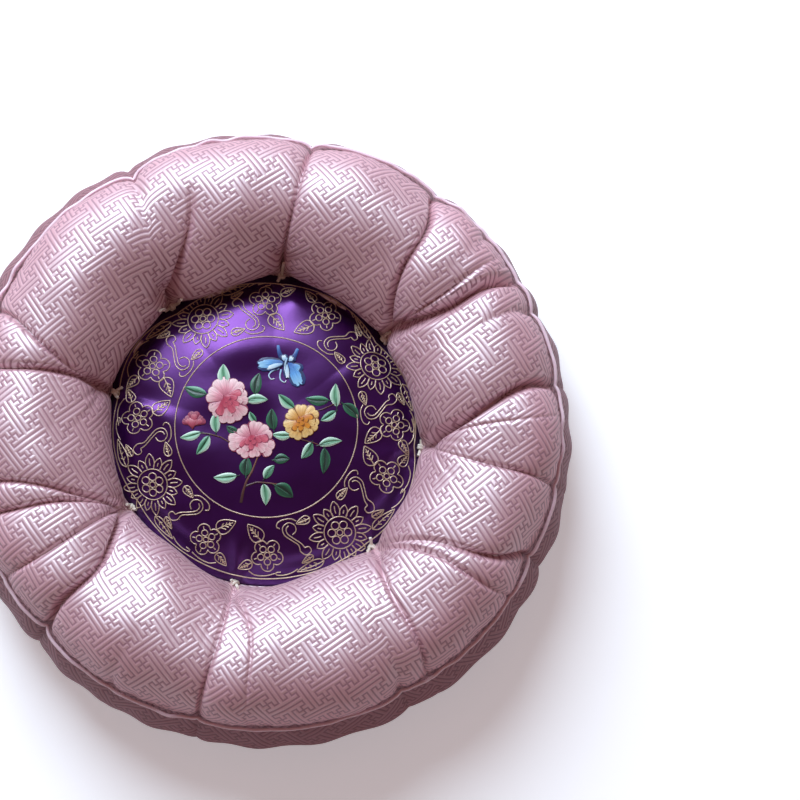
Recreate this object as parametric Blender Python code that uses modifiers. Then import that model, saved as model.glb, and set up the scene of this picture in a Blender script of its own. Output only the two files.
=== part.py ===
"""Round tufted floor cushion, about 55 cm across, standing on its flat base.

Eight cotton ties draw the crown down round a satin medallion, and leave a ring
of soft lobes with folds between them. A thin welt runs round the top seam,
where the crown meets the side band. Lengths are in metres and +Z is up. The
origin is the middle of the underside.
"""

import math
from collections import namedtuple

import bmesh
import bpy
from mathutils import Vector
from mathutils.bvhtree import BVHTree

# Driving dimensions.
SEAM_RADIUS = 0.263  # the top seam on the widest lobe
SEAM_HEIGHT = 0.090
SEAM_DIP = 0.003  # how far a fold draws the top seam down
BASE_SEAM_RADIUS = 0.259
BASE_SEAM_HEIGHT = 0.007
BASE_FLAT_RADIUS = 0.240  # the underside is flat inside this radius
BAND_BULGE = 0.013
CREASE_HEIGHT = 0.060  # the crease round the medallion, half way between two ties
TIE_DROP = 0.009  # how far a tie draws the crease down
CREASE_BOW = 0.007  # how far the crease bows out between two ties
FOLD_RISE = 0.032  # how far the crown stands up along the bottom of a fold
LOBE_RISE = 0.034  # how much further it stands up on the widest lobe
LOBE_WIDTH = 0.050  # a lobe narrower than this stands up much less
DOME_RISE = 0.024  # the medallion's middle above its edge
DOME_FULLNESS = 2.6  # 2 is a parabola, and more is flatter on top
TIE_REACH = 7.0  # the more, the less of the medallion a tie draws down
LOBE_FULLNESS = 0.35  # 0.5 is a half ellipse, and less is flatter on top
CLOTH = 0.0015  # the medallion's thickness
MEDALLION_INSET = 0.0006  # its edge from the bottom of the crease
DOME_CLEARANCE = 1.1  # the medallion lies on a slope, so it is lifted by this much more
WELT_RADIUS = 0.0020
WELT_LEAN = 0.25  # how far up it is pushed out of the seam, for each unit outward
TIE_RADIUS = 0.0014
GAP = 0.0004  # between two pieces that touch
TUBE_CLEARANCE = 0.0007  # from a point of a tube to the cloth, so that its straight runs keep the gap
CLEARING_STEP = 0.0001
ABOVE_ALL = 0.2  # a height over all of the cushion

# How finely the cloth is divided.
COLUMN_SPAN = 4.5  # degrees
FEWEST_COLUMNS = 5  # across a lobe
DISH_ROWS = 4
CROWN_ROWS = 11
BAND_ROWS = 5
TIE_RUNS = 10  # the straight runs that a tie's curve is made of
TUBE_RESOLUTION = 2

# The eight ties: where each is, in degrees round from +X and metres from the
# middle, then the heading and the length of its two free ends.
Tie = namedtuple("Tie", "name angle radius heading_1 length_1 heading_2 length_2")
TIES = (
    Tie("tie_1", 40.0, 0.137, 36.0, 0.009, 285.0, 0.007),
    Tie("tie_2", 84.5, 0.146, 62.0, 0.008, 242.0, 0.008),
    Tie("tie_3", 126.0, 0.144, 23.0, 0.011, 220.0, 0.013),
    Tie("tie_4", 164.5, 0.144, 16.0, 0.012, 323.0, 0.010),
    Tie("tie_5", 208.5, 0.136, 154.0, 0.005, 342.0, 0.006),
    Tie("tie_6", 259.0, 0.136, 127.0, 0.006, 300.0, 0.006),
    Tie("tie_7", 313.5, 0.139, 102.0, 0.009, 239.0, 0.007),
    Tie("tie_8", 355.5, 0.139, 90.0, 0.007, 252.0, 0.009),
)

# The folds that run out from the ties: the angles where each starts, at the
# crease, and ends, at the seam, and how far it pulls the seam in.
Fold = namedtuple("Fold", "crease_angle seam_angle pull")
FOLDS = (
    Fold(-4.5, 9.5, 0.005),
    Fold(39.0, 29.0, 0.009),
    Fold(41.0, 53.7, 0.006),
    Fold(84.5, 80.8, 0.007),
    Fold(126.0, 116.5, 0.009),
    Fold(163.5, 153.8, 0.005),
    Fold(165.5, 167.0, 0.005),
    Fold(207.3, 191.0, 0.006),
    Fold(208.5, 209.0, 0.004),
    Fold(209.7, 222.8, 0.008),
    Fold(259.0, 258.4, 0.006),
    Fold(312.8, 303.0, 0.008),
    Fold(314.4, 335.0, 0.007),
)

# Each material's name, colour and roughness.
PINK_SATIN = ("pink_satin", (0.60, 0.36, 0.44), 0.42)
PURPLE_SATIN = ("purple_satin", (0.10, 0.02, 0.24), 0.38)
PINK_WELT = ("pink_welt", (0.66, 0.42, 0.49), 0.50)
CREAM_COTTON = ("cream_cotton", (0.80, 0.74, 0.66), 0.85)


def mix(a, b, share):
    return a + (b - a) * share


def on_circle(angle, radius, height):
    turn = math.radians(angle)
    return Vector((radius * math.cos(turn), radius * math.sin(turn), height))


def crease(angle):
    """Radius and height of the crease between the medallion and the lobes."""
    for tie, following in zip(TIES, TIES[1:] + TIES[:1]):
        span = (following.angle - tie.angle) % 360.0
        share = (angle - tie.angle) % 360.0 / span
        if share < 1.0:
            break
    bow = 4.0 * share * (1.0 - share)
    radius = mix(tie.radius, following.radius, share) + CREASE_BOW * bow
    return radius, CREASE_HEIGHT - TIE_DROP * (1.0 - bow)


class Column:
    """One line of the cloth from the middle to the base, a share of the way across a lobe."""

    def __init__(self, fold, following, share):
        self.start = fold
        self.end = following
        self.share = share
        # 0 in the folds and 1 in the middle of the lobe.
        self.arch = (4.0 * share * (1.0 - share)) ** LOBE_FULLNESS
        pull = mix(fold.pull, following.pull, share) * (1.0 - self.arch)
        self.seam_radius = SEAM_RADIUS - pull
        self.seam_height = SEAM_HEIGHT - SEAM_DIP * (1.0 - self.arch)
        self.crease_radius, self.crease_height = crease(self.angle(0.0))

    def angle(self, outward):
        """The line's angle at a share of the way from the crease to the seam."""
        start = mix(self.start.crease_angle, self.start.seam_angle, outward)
        return start + self.span(outward) * self.share

    def span(self, outward):
        """The lobe's width there, in degrees."""
        at_crease = (self.end.crease_angle - self.start.crease_angle) % 360.0
        at_seam = (self.end.seam_angle - self.start.seam_angle) % 360.0
        return mix(at_crease, at_seam, outward)

    def dish(self, share, inset=0.0, lift=0.0):
        """The dome that the medallion lies on, from its middle to the crease."""
        height = CREASE_HEIGHT + DOME_RISE * (1.0 - share**DOME_FULLNESS)
        height += (self.crease_height - CREASE_HEIGHT) * share**TIE_REACH
        return on_circle(self.angle(0.0), (self.crease_radius - inset) * share, height + lift)

    def crown(self, share):
        """The top of the lobe, from the crease over its crest to the seam."""
        outward = 0.5 - 0.5 * math.cos(math.pi * share)
        radius = mix(self.crease_radius, self.seam_radius, outward)
        width = radius * math.radians(self.span(outward))
        rise = FOLD_RISE + LOBE_RISE * self.arch * (1.0 - math.exp(-width / LOBE_WIDTH))
        height = mix(self.crease_height, self.seam_height, outward) + rise * math.sin(math.pi * share)
        return on_circle(self.angle(outward), radius, height)

    def band(self, share):
        """The side, from the top seam down to the seam round the base."""
        radius = mix(self.seam_radius, BASE_SEAM_RADIUS, share) + BAND_BULGE * math.sin(math.pi * share)
        height = mix(self.seam_height, BASE_SEAM_HEIGHT, share)
        return on_circle(self.angle(1.0), radius, height)

    def base_rim(self):
        """The edge of the underside's flat."""
        return on_circle(self.angle(1.0), BASE_FLAT_RADIUS, 0.0)


def cloth_columns():
    columns = []
    for fold, following in zip(FOLDS, FOLDS[1:] + FOLDS[:1]):
        lobe = Column(fold, following, 0.0)
        count = max(FEWEST_COLUMNS, round(max(lobe.span(0.0), lobe.span(1.0)) / COLUMN_SPAN))
        columns += [Column(fold, following, step / count) for step in range(count)]
    return columns


def steps(count):
    """The shares 1/count, 2/count and so on to 1."""
    return [step / count for step in range(1, count + 1)]


def spun_surface(lines):
    """A profile spun round +Z, whose columns then each take the shape of one line of points."""
    bm = bmesh.new()
    wire = [
        bm.verts.new((math.hypot(point.x, point.y), 0.0, row))
        for row, point in enumerate(lines[0])
    ]
    edges = [bm.edges.new(pair) for pair in zip(wire, wire[1:])]
    bmesh.ops.spin(
        bm,
        geom=wire + edges,
        axis=(0.0, 0.0, 1.0),
        angle=math.tau,
        steps=len(lines),
        use_merge=True,
    )
    bmesh.ops.remove_doubles(bm, verts=bm.verts, dist=GAP)
    for vert in bm.verts:
        column = round(math.atan2(vert.co.y, vert.co.x) / math.tau * len(lines))
        vert.co = lines[column % len(lines)][round(vert.co.z)]
    return bm


def material(name, color, roughness):
    if name in bpy.data.materials:
        return bpy.data.materials[name]
    made = bpy.data.materials.new(name)
    made.use_nodes = True
    shader = made.node_tree.nodes["Principled BSDF"]
    shader.inputs["Base Color"].default_value = (*color, 1.0)
    shader.inputs["Roughness"].default_value = roughness
    return made


def add_object(name, data, finish, collection):
    obj = bpy.data.objects.new(name, data)
    data.materials.append(material(*finish))
    collection.objects.link(obj)
    return obj


def add_cloth(name, bm, finish, collection):
    bmesh.ops.recalc_face_normals(bm, faces=bm.faces)
    mesh = bpy.data.meshes.new(name)
    bm.to_mesh(mesh)
    bm.free()
    mesh.shade_smooth()
    return add_object(name, mesh, finish, collection)


def add_cushion(columns, collection):
    """The filled cushion: one solid of its crown, band and base."""
    lines = []
    for column in columns:
        line = [column.dish(0.0)]
        line += [column.dish(share) for share in steps(DISH_ROWS)]
        line += [column.crown(share) for share in steps(CROWN_ROWS)]
        line += [column.band(share) for share in steps(BAND_ROWS)]
        line.append(column.base_rim())
        lines.append(line)
    bm = spun_surface(lines)
    bmesh.ops.holes_fill(bm, edges=bm.edges, sides=0)
    return add_cloth("cushion", bm, PINK_SATIN, collection)


def add_medallion(columns, collection):
    """The round of satin inside the ring of lobes, laid on the dome."""
    lift = DOME_CLEARANCE * (CLOTH + GAP)
    lines = [
        [column.dish(share, MEDALLION_INSET, lift) for share in [0.0] + steps(DISH_ROWS)]
        for column in columns
    ]
    medallion = add_cloth("medallion", spun_surface(lines), PURPLE_SATIN, collection)
    shell = medallion.modifiers.new("Thickness", "SOLIDIFY")
    shell.thickness = CLOTH
    shell.offset = -1.0
    return medallion


def surface_of(objects):
    """A search tree of the objects' surfaces, modifiers included."""
    bm = bmesh.new()
    graph = bpy.context.evaluated_depsgraph_get()
    for obj in objects:
        bm.from_mesh(obj.evaluated_get(graph).to_mesh())
    return BVHTree.FromBMesh(bm)


def moved_clear(point, direction, radius, surface):
    """The point, moved along the direction until a tube through it clears the surface."""
    while surface.find_nearest(point)[3] < radius + TUBE_CLEARANCE:
        point = point + direction * CLEARING_STEP
    return point


def add_tube(name, points, radius, cyclic, finish, collection):
    curve = bpy.data.curves.new(name, "CURVE")
    curve.dimensions = "3D"
    curve.bevel_depth = radius
    curve.bevel_resolution = TUBE_RESOLUTION
    curve.use_fill_caps = not cyclic
    spline = curve.splines.new("POLY")
    spline.points.add(len(points) - 1)
    for place, point in zip(spline.points, points):
        place.co = (*point, 1.0)
    spline.use_cyclic_u = cyclic
    return add_object(name, curve, finish, collection)


def add_welt(columns, surface, collection):
    """The cord sewn into the top seam, lying just outside it."""
    points = []
    for column in columns:
        seam = column.band(0.0)
        outward = Vector((seam.x, seam.y, 0.0)).normalized()
        outward.z = WELT_LEAN
        points.append(moved_clear(seam + outward * WELT_RADIUS, outward, WELT_RADIUS, surface))
    return add_tube("top_welt", points, WELT_RADIUS, True, PINK_WELT, collection)


def tie_points(tie, surface):
    """One tie's thread: a curve from its first free end, past the tie's place, to its second."""
    place = on_circle(tie.angle, tie.radius, ABOVE_ALL)
    first = on_circle(tie.heading_1, tie.length_1, 0.0)
    second = on_circle(tie.heading_2, tie.length_2, 0.0)
    upward = Vector((0.0, 0.0, 1.0))
    points = []
    for share in [0.0] + steps(TIE_RUNS):
        offset = first * (1.0 - share) ** 2 + second * share**2
        landing = surface.ray_cast(place + offset, -upward)[0]
        points.append(moved_clear(landing, upward, TIE_RADIUS, surface))
    return points


def centred(objects):
    """Moves the objects together, so that the middle of their box is on the Z axis."""
    bpy.context.view_layer.update()
    corners = [obj.matrix_world @ Vector(corner) for obj in objects for corner in obj.bound_box]
    low = Vector(min(corner[axis] for corner in corners) for axis in range(3))
    high = Vector(max(corner[axis] for corner in corners) for axis in range(3))
    middle = (low + high) / 2.0
    for obj in objects:
        obj.location = (-middle.x, -middle.y, -low.z)


def main():
    for obj in list(bpy.data.objects):
        bpy.data.objects.remove(obj, do_unlink=True)
    collection = bpy.data.collections.new("tufted_floor_cushion")
    bpy.context.scene.collection.children.link(collection)

    columns = cloth_columns()
    cushion = add_cushion(columns, collection)
    medallion = add_medallion(columns, collection)
    surface = surface_of([cushion, medallion])
    welt = add_welt(columns, surface, collection)
    ties = [
        add_tube(tie.name, tie_points(tie, surface), TIE_RADIUS, False, CREAM_COTTON, collection)
        for tie in TIES
    ]
    centred([cushion, medallion, welt] + ties)


if __name__ == "__main__":
    main()
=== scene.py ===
"""Looks of a round tufted floor cushion: its satin cover, embroidered medallion, welt and ties.

Run as a script, it dresses the cushion's solids with fine cloth surfaces, lays the
embroidery on the medallion and sets up a pale studio. Lengths are in metres and +Z is up.
"""

import math
from collections import namedtuple

import bpy
import numpy as np
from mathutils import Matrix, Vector
from mathutils.bvhtree import BVHTree


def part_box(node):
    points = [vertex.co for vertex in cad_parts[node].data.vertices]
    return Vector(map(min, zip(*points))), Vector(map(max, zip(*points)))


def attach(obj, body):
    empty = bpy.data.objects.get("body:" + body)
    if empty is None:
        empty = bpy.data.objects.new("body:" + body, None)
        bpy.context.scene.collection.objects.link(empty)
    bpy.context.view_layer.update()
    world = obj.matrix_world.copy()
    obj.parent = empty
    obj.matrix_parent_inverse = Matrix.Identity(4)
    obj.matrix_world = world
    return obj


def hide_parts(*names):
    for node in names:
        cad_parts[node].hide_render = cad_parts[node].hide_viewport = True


bl_info = {
    "name": "Tufted Floor Cushion",
    "version": (1, 0, 0),
    "blender": (4, 5, 0),
    "location": "3D View > Sidebar > Cushion",
    "description": "Dresses a tufted floor cushion in satin damask and embroidery",
    "category": "Object",
}

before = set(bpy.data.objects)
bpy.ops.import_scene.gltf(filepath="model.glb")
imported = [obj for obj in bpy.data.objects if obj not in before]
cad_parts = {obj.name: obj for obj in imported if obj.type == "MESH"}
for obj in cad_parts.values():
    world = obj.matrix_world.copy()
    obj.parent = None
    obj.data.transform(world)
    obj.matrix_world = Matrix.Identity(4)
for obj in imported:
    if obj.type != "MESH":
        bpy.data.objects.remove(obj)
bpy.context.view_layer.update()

# The cushion's turning axis, which is the middle of its flat base.
BASE_POINTS = np.array([v.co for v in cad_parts["cushion"].data.vertices if v.co.z < 0.001])
AXIS = (BASE_POINTS.min(axis=0) + BASE_POINTS.max(axis=0)) / 2.0

# The cushion's driving sizes, as its solids have them.
SEAM_RADIUS = 0.263
SEAM_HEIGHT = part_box("top_welt")[1].z - 0.0035
SEAM_DIP, FULL_PULL = 0.003, 0.006  # its deepest dip, and how far it is drawn in there
BASE_SEAM_RADIUS = 0.259
BASE_SEAM_HEIGHT = 0.007
BASE_FLAT_RADIUS = 0.240
CREASE_HEIGHT = 0.060
TIE_DROP = 0.009  # how far the crease dips at a tie
# How far the crease swells out of the line from each tie to the next.
CREASE_BOWS = (0.004, 0.002, 0.006, 0.004, 0.000, 0.000, 0.005, 0.004)
DOME_FULLNESS = 2.6  # over 2, the medallion is flatter than a ball and rounder at its edge
TIE_REACH = 7.0  # the higher, the nearer the crease the medallion turns down to a tie
MEDALLION_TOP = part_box("medallion")[1].z
WELT_RADIUS, WELT_WAVER = 0.0020, 0.00022
TIE_RADIUS = 0.0014
ABOVE_ALL = 0.2  # a height clear of every surface

# The ties round the medallion: degrees round from +X and metres from the axis, then the
# heading and the length of each free end.
Tie = namedtuple("Tie", "name angle radius heading_1 length_1 heading_2 length_2")
TIES = (
    Tie("tie_1", 40.0, 0.137, 36.0, 0.009, 285.0, 0.007),
    Tie("tie_2", 84.5, 0.146, 62.0, 0.008, 242.0, 0.008),
    Tie("tie_3", 126.0, 0.144, 23.0, 0.011, 220.0, 0.013),
    Tie("tie_4", 164.5, 0.144, 16.0, 0.012, 323.0, 0.010),
    Tie("tie_5", 208.5, 0.136, 154.0, 0.005, 342.0, 0.006),
    Tie("tie_6", 259.0, 0.136, 127.0, 0.006, 300.0, 0.006),
    Tie("tie_7", 313.5, 0.139, 102.0, 0.009, 239.0, 0.007),
    Tie("tie_8", 355.5, 0.139, 90.0, 0.007, 252.0, 0.009),
)

# The folds that run out over the crown from the ties, in order round it. Each row gives a
# fold's angle and how deep it is, 1 being a full fold, at four places on its way: in the
# crease round the medallion, a third and two thirds of the way out, and at the top seam,
# which it pulls in by "pull", and how wide its groove is on each side.
Fold = namedtuple("Fold", "angles depths pull width")
FOLDS = (
    Fold((-5.2, -9.4, -10.2, -10.9), (0.2, 0.3, 0.5, 0.6), 0.004, 0.0028),
    Fold((-4.4, -0.7, 0.9, 2.5), (0.4, 0.3, 0.2, 0.1), 0.000, 0.0025),
    Fold((-3.9, 2.6, 7.6, 8.8), (0.9, 1.0, 1.0, 0.7), 0.004, 0.0065),
    Fold((39.2, 33.4, 32.6, 30.6), (0.8, 0.9, 0.9, 0.6), 0.003, 0.0085),
    Fold((39.8, 36.6, 36.2, 36.0), (0.7, 0.6, 0.4, 0.0), 0.000, 0.0035),
    Fold((40.4, 48.3, 50.0, 54.2), (0.9, 1.0, 0.8, 0.8), 0.006, 0.0042),
    Fold((84.5, 82.7, 81.6, 80.8), (0.9, 0.9, 0.8, 0.7), 0.008, 0.0028),
    Fold((126.0, 111.0, 107.0, 106.0), (0.8, 0.4, 0.0, 0.0), 0.000, 0.0050),
    Fold((163.6, 162.0, 158.2, 155.8), (0.5, 0.6, 0.7, 0.6), 0.004, 0.0035),
    Fold((164.8, 165.0, 166.7, 167.6), (0.9, 0.9, 0.8, 0.6), 0.004, 0.0045),
    Fold((207.4, 198.6, 193.3, 191.6), (0.7, 0.7, 0.6, 0.6), 0.004, 0.0040),
    Fold((208.0, 201.4, 199.3, 197.7), (0.5, 0.8, 0.8, 0.6), 0.004, 0.0035),
    Fold((208.7, 210.2, 210.9, 210.1), (0.5, 0.6, 0.6, 0.3), 0.002, 0.0030),
    Fold((209.4, 220.0, 221.5, 222.4), (0.8, 0.9, 0.9, 0.9), 0.009, 0.0050),
    Fold((258.7, 259.0, 258.1, 257.4), (0.6, 0.6, 0.6, 0.7), 0.006, 0.0030),
    Fold((259.5, 266.9, 267.3, 267.4), (0.4, 0.4, 0.3, 0.1), 0.000, 0.0026),
    Fold((313.0, 307.6, 306.3, 303.8), (0.6, 0.7, 0.6, 0.5), 0.002, 0.0035),
    Fold((313.9, 322.2, 323.8, 325.6), (0.6, 0.6, 0.5, 0.2), 0.002, 0.0035),
    Fold((314.4, 325.5, 328.8, 334.4), (0.2, 0.3, 0.6, 0.8), 0.007, 0.0045),
)

# Short tucks in the crown beside the top seam: angle, depth and length in metres, and how
# far each pulls the seam in.
Tuck = namedtuple("Tuck", "angle depth reach pull")
TUCKS = (
    Tuck(23.8, 0.005, 0.030, 0.006),
    Tuck(41.0, 0.004, 0.030, 0.002),
    Tuck(117.5, 0.004, 0.020, 0.011),
    Tuck(175.0, 0.002, 0.030, 0.000),
    Tuck(239.4, 0.004, 0.026, 0.002),
    Tuck(297.9, 0.005, 0.028, 0.005),
    Tuck(337.6, 0.003, 0.016, 0.001),
)


def mix(a, b, share):
    return a + (b - a) * share


def linear(code):
    """The linear colour of an sRGB hex code."""
    channels = [int(code[start : start + 2], 16) / 255.0 for start in (1, 3, 5)]
    return tuple(c / 12.92 if c <= 0.04045 else ((c + 0.055) / 1.055) ** 2.4 for c in channels)


def around(angle, radius, height=0.0):
    """The point at an angle in degrees and a radius round the cushion's axis."""
    turn = math.radians(angle)
    return Vector((AXIS[0] + radius * math.cos(turn), AXIS[1] + radius * math.sin(turn), height))


def flat_places(radius, angle):
    """The x and y tables of points at tables of radius and angle round the axis."""
    turn = np.radians(angle)
    return AXIS[0] + radius * np.cos(turn), AXIS[1] + radius * np.sin(turn)


def turned(difference):
    """An angle difference in degrees, from -180 to 180."""
    return (difference + 180.0) % 360.0 - 180.0


def arc(difference, radius):
    """How long the arc of an angle difference is, either way round."""
    return np.abs(turned(difference)) * math.radians(1.0) * radius


def bell(distance, width):
    return np.exp(-((distance / width) ** 2))


def waves(x, y, rng, lengths, height):
    """Soft unevenness: a wave of each length, each with its own heading."""
    total = np.zeros_like(x)
    for length in lengths:
        turn, phase = rng.uniform(0.0, math.tau, 2)
        along = x * math.cos(turn) + y * math.sin(turn)
        total += height * length * np.sin(math.tau * along / length + phase)
    return total


# ---------- meshes


def pick(*pieces):
    """Selects pieces and nothing else, with the first as the active one."""
    bpy.ops.object.select_all(action="DESELECT")
    for piece in pieces:
        piece.select_set(True)
    bpy.context.view_layer.objects.active = pieces[0]


def linked(name, data):
    """A new object in the scene that shows the given curve, light or camera."""
    made = bpy.data.objects.new(name, data)
    bpy.context.scene.collection.objects.link(made)
    return made


def wrapped_grid(name, columns, rows):
    """A flat sheet of quads, ready to be wrapped round the axis. Its points go row by row."""
    bpy.ops.object.select_all(action="DESELECT")
    bpy.ops.mesh.primitive_grid_add(x_subdivisions=columns, y_subdivisions=rows, size=1.0)
    sheet = bpy.context.object
    sheet.name = sheet.data.name = name
    return sheet


def place_points(piece, points):
    """Gives a mesh's points their places, row by row."""
    piece.data.vertices.foreach_set("co", points.reshape(-1).astype(np.float32))
    piece.data.update()


def corner_points(piece):
    """Which point each face corner is at."""
    points = np.zeros(len(piece.data.loops), np.int32)
    piece.data.loops.foreach_get("vertex_index", points)
    return points


def write_map(piece, name, places):
    """Names a mesh's UV map and writes a place for each face corner."""
    piece.data.uv_layers[0].name = name
    piece.data.uv_layers[0].data.foreach_set("uv", places.reshape(-1).astype(np.float32))


def edited(piece, *steps):
    """Runs edit-mode steps on all of one piece."""
    pick(piece)
    bpy.ops.object.mode_set(mode="EDIT")
    bpy.ops.mesh.select_all(action="SELECT")
    for step in steps:
        step()
    bpy.ops.object.mode_set(mode="OBJECT")


def merged():
    """Joins points that lie within a fiftieth of a millimetre."""
    bpy.ops.mesh.remove_doubles(threshold=0.00002)


def facing_out():
    bpy.ops.mesh.normals_make_consistent(inside=False)


def finished(piece, stands_for=()):
    """Smooth-shades a piece, fixes it to the body and hides the solids it stands for."""
    pick(piece)
    bpy.ops.object.transform_apply(location=True, rotation=True, scale=True)
    bpy.ops.object.shade_smooth()
    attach(piece, "root")
    if stands_for:
        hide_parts(*stands_for)


# ---------- the cover

CREST_RISE = 0.064  # the full crown above the line from the crease to the seam
CREST_LEAN = 0.85  # under 1, the crest stands nearer the medallion than the seam
BROAD_DEPTH, BROAD_WIDTH = 0.006, 0.028  # the valley round a fold's groove
GROOVE_SLOPE = 2.3  # a groove's depth over its half width
WELL_DEPTH, WELL_WIDTH = 0.004, 0.008  # at a tie
GATHER_REACH = 0.09  # how far from a tie its puckers can run
OVERHANG, LIP_REACH = 0.010, 0.09  # how far the crown leans in over the medallion, and how low
SEAM_GROOVE = 0.0022
DISH_GAP = 0.0095  # from the medallion down to the cover under it
BAND_RIPPLE = 11.0  # degrees from one ripple of the band to the next
BAND_FROM = 0.2  # below the seam, what lies further out than this is the band's cloth
# How far the band bulges at places round it, in degrees: least at the far right.
BAND_PLACES = (0.0, 30.0, 60.0, 90.0, 120.0, 150.0, 180.0, 225.0, 270.0, 315.0, 360.0)
BAND_BULGES = (0.0125, 0.0105, 0.0105, 0.013, 0.018, 0.018, 0.016, 0.0165, 0.0175, 0.017, 0.0125)
DISH_ROWS, CROWN_ROWS, BAND_ROWS, BASE_ROWS = 8, 96, 32, 6
BAND_PAINTED_SHADE = (0.50, 0.43, 0.43)  # the band's cloth darkened beside the crown's: painted shade for the side that faces away from the light


def crease(angle):
    """Radius, height and bow, from 0 at a tie to 1 between two, of the crease at each angle."""
    angle = np.asarray(angle, float)
    radius, bow = np.zeros_like(angle), np.zeros_like(angle)
    for tie, following, swell in zip(TIES, TIES[1:] + TIES[:1], CREASE_BOWS):
        span = (following.angle - tie.angle) % 360.0
        share = (angle - tie.angle) % 360.0 / span
        inside = share < 1.0
        bow[inside] = (4.0 * share * (1.0 - share))[inside]
        radius[inside] = (mix(tie.radius, following.radius, share) + swell * bow)[inside]
    return radius, CREASE_HEIGHT - TIE_DROP * (1.0 - bow), bow


def through_stations(values, share):
    """A smooth curve through a fold's four evenly spaced values."""
    a, b, c, d = values
    s = 3.0 * share
    rise = (b - a) * s
    bend = (c - 2.0 * b + a) * s * (s - 1.0) / 2.0
    return a + rise + bend + (d - 3.0 * c + 3.0 * b - a) * s * (s - 1.0) * (s - 2.0) / 6.0


def lobe_columns(count):
    """For each column of the cloth, the fold before it and its share of the way to the next.

    The columns stand closer together beside a fold."""
    spans = []
    for fold, following in zip(FOLDS, FOLDS[1:] + FOLDS[:1]):
        widths = [(b - a) % 360.0 for a, b in zip(fold.angles, following.angles)]
        spans.append(max(6.0, sum(widths) / len(widths)))
    before, share = [], []
    for index, span in enumerate(spans):
        number = max(8, round(count * span / sum(spans)))
        even = np.arange(number) / number
        before += [index] * number
        share += list(even - 0.55 * np.sin(2.0 * np.pi * even) / (2.0 * np.pi))
    return np.array(before), np.array(share)


def fold_angles(columns, outward):
    """The angle of each column at each share of the way out, as a table."""
    before, share = columns
    paths = np.array([through_stations(fold.angles, outward) for fold in FOLDS])
    start, end = paths[before], paths[(before + 1) % len(FOLDS)]
    return (start + (end - start) % 360.0 * share[:, None]).T


def seam_pull(angle):
    """How far the top seam is drawn in at each angle."""
    pulls = np.zeros_like(angle)
    for at, pull in [(f.angles[3], f.pull) for f in FOLDS] + [(t.angle, t.pull) for t in TUCKS]:
        distance = arc(angle - at, SEAM_RADIUS)
        pulls += (pull * (0.55 * np.exp(-distance / 0.005) + 0.45 * np.exp(-distance / 0.022))) ** 2
    return np.sqrt(pulls)


def seam_line(angle):
    """The top seam's radius and height at each angle, and how far it is drawn in."""
    pull = seam_pull(angle)
    return SEAM_RADIUS - pull, SEAM_HEIGHT - SEAM_DIP * np.minimum(1.0, pull / FULL_PULL), pull


def fold_depth(angle, outward, radius, from_crease):
    """How deep the folds press the crown in: a broad valley and a sharp crease for each."""
    broad, sharp = np.zeros_like(angle), np.zeros_like(angle)
    stations = np.linspace(0.0, 1.0, 4)
    for fold in FOLDS:
        path = through_stations(fold.angles, outward)[:, None]
        depth = np.interp(outward, stations, fold.depths)[:, None]
        distance = arc(angle - path, radius)
        groove = np.maximum(0.0, 1.0 - distance / fold.width) ** 1.2
        broad += (depth * np.exp(-distance / BROAD_WIDTH)) ** 3
        sharp += (GROOVE_SLOPE * fold.width * depth * groove) ** 3
    fade = 1.0 - bell(from_crease, 0.035)
    start = 0.2 + 0.8 * (1.0 - bell(from_crease, 0.026))
    return BROAD_DEPTH * np.cbrt(broad) * fade + np.cbrt(sharp) * start


def tuck_depth(angle, radius, from_seam):
    """How deep the short tucks beside the top seam press the crown in."""
    depth = np.zeros_like(angle)
    for tuck in TUCKS:
        distance = arc(angle - tuck.angle, radius)
        shape = 0.6 * np.exp(-distance / 0.003) + 0.4 * np.exp(-distance / 0.012)
        depth += tuck.depth * shape * bell(from_seam, tuck.reach)
    return depth


def tie_gathers(x, y):
    """The well at each tie and the small puckers that fan out from it."""
    rng = np.random.default_rng(11)
    depth = np.zeros_like(x)
    for tie in TIES:
        place = around(tie.angle, tie.radius)
        dx, dy = x - place.x, y - place.y
        distance = np.hypot(dx, dy)
        near = distance < GATHER_REACH
        heading = np.degrees(np.arctan2(dy, dx))
        depth[near] += WELL_DEPTH * np.exp(-distance[near] / WELL_WIDTH)
        for turn in np.arange(-84.0, 85.0, 12.0) + rng.uniform(-4.5, 4.5, 15):
            length, deep = rng.uniform(0.010, 0.022), rng.uniform(0.0006, 0.0020)
            ray = bell(arc(heading - tie.angle - turn, distance), 0.0022) * np.exp(-distance / length)
            depth[near] += (deep * ray * np.minimum(1.0, distance / 0.008) * 2.0)[near]
    return depth


def seam_puckers(angle, from_seam, seed, deep):
    """Small puckers along a seam, 8 to 20 mm apart."""
    rng = np.random.default_rng(seed)
    depth = np.zeros_like(angle)
    at = 0.0
    while at < 360.0:
        wide, reach = rng.uniform(0.0022, 0.0040), rng.uniform(0.006, 0.015)
        height = deep * rng.uniform(0.3, 1.0)
        slant = rng.uniform(-0.5, 0.5)
        distance = turned(angle - at) * math.radians(SEAM_RADIUS) + slant * from_seam
        depth += height * bell(distance, wide) * np.exp(-from_seam / reach)
        at += math.degrees(rng.uniform(0.008, 0.020) / SEAM_RADIUS)
    return depth


def stuffing(x, y):
    """Soft unevenness of the filling, with two waves of each length."""
    lengths = np.repeat((0.050, 0.060, 0.072, 0.085, 0.100, 0.120, 0.140), 2)
    return waves(x, y, np.random.default_rng(5), lengths, 0.006)


def dish_height(share, crease_height):
    """The medallion's top, from 0 in its middle to 1 in the crease."""
    dome = MEDALLION_TOP - CREASE_HEIGHT
    height = CREASE_HEIGHT + dome * (1.0 - share**DOME_FULLNESS)
    return height + (crease_height - CREASE_HEIGHT) * share**TIE_REACH


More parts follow.
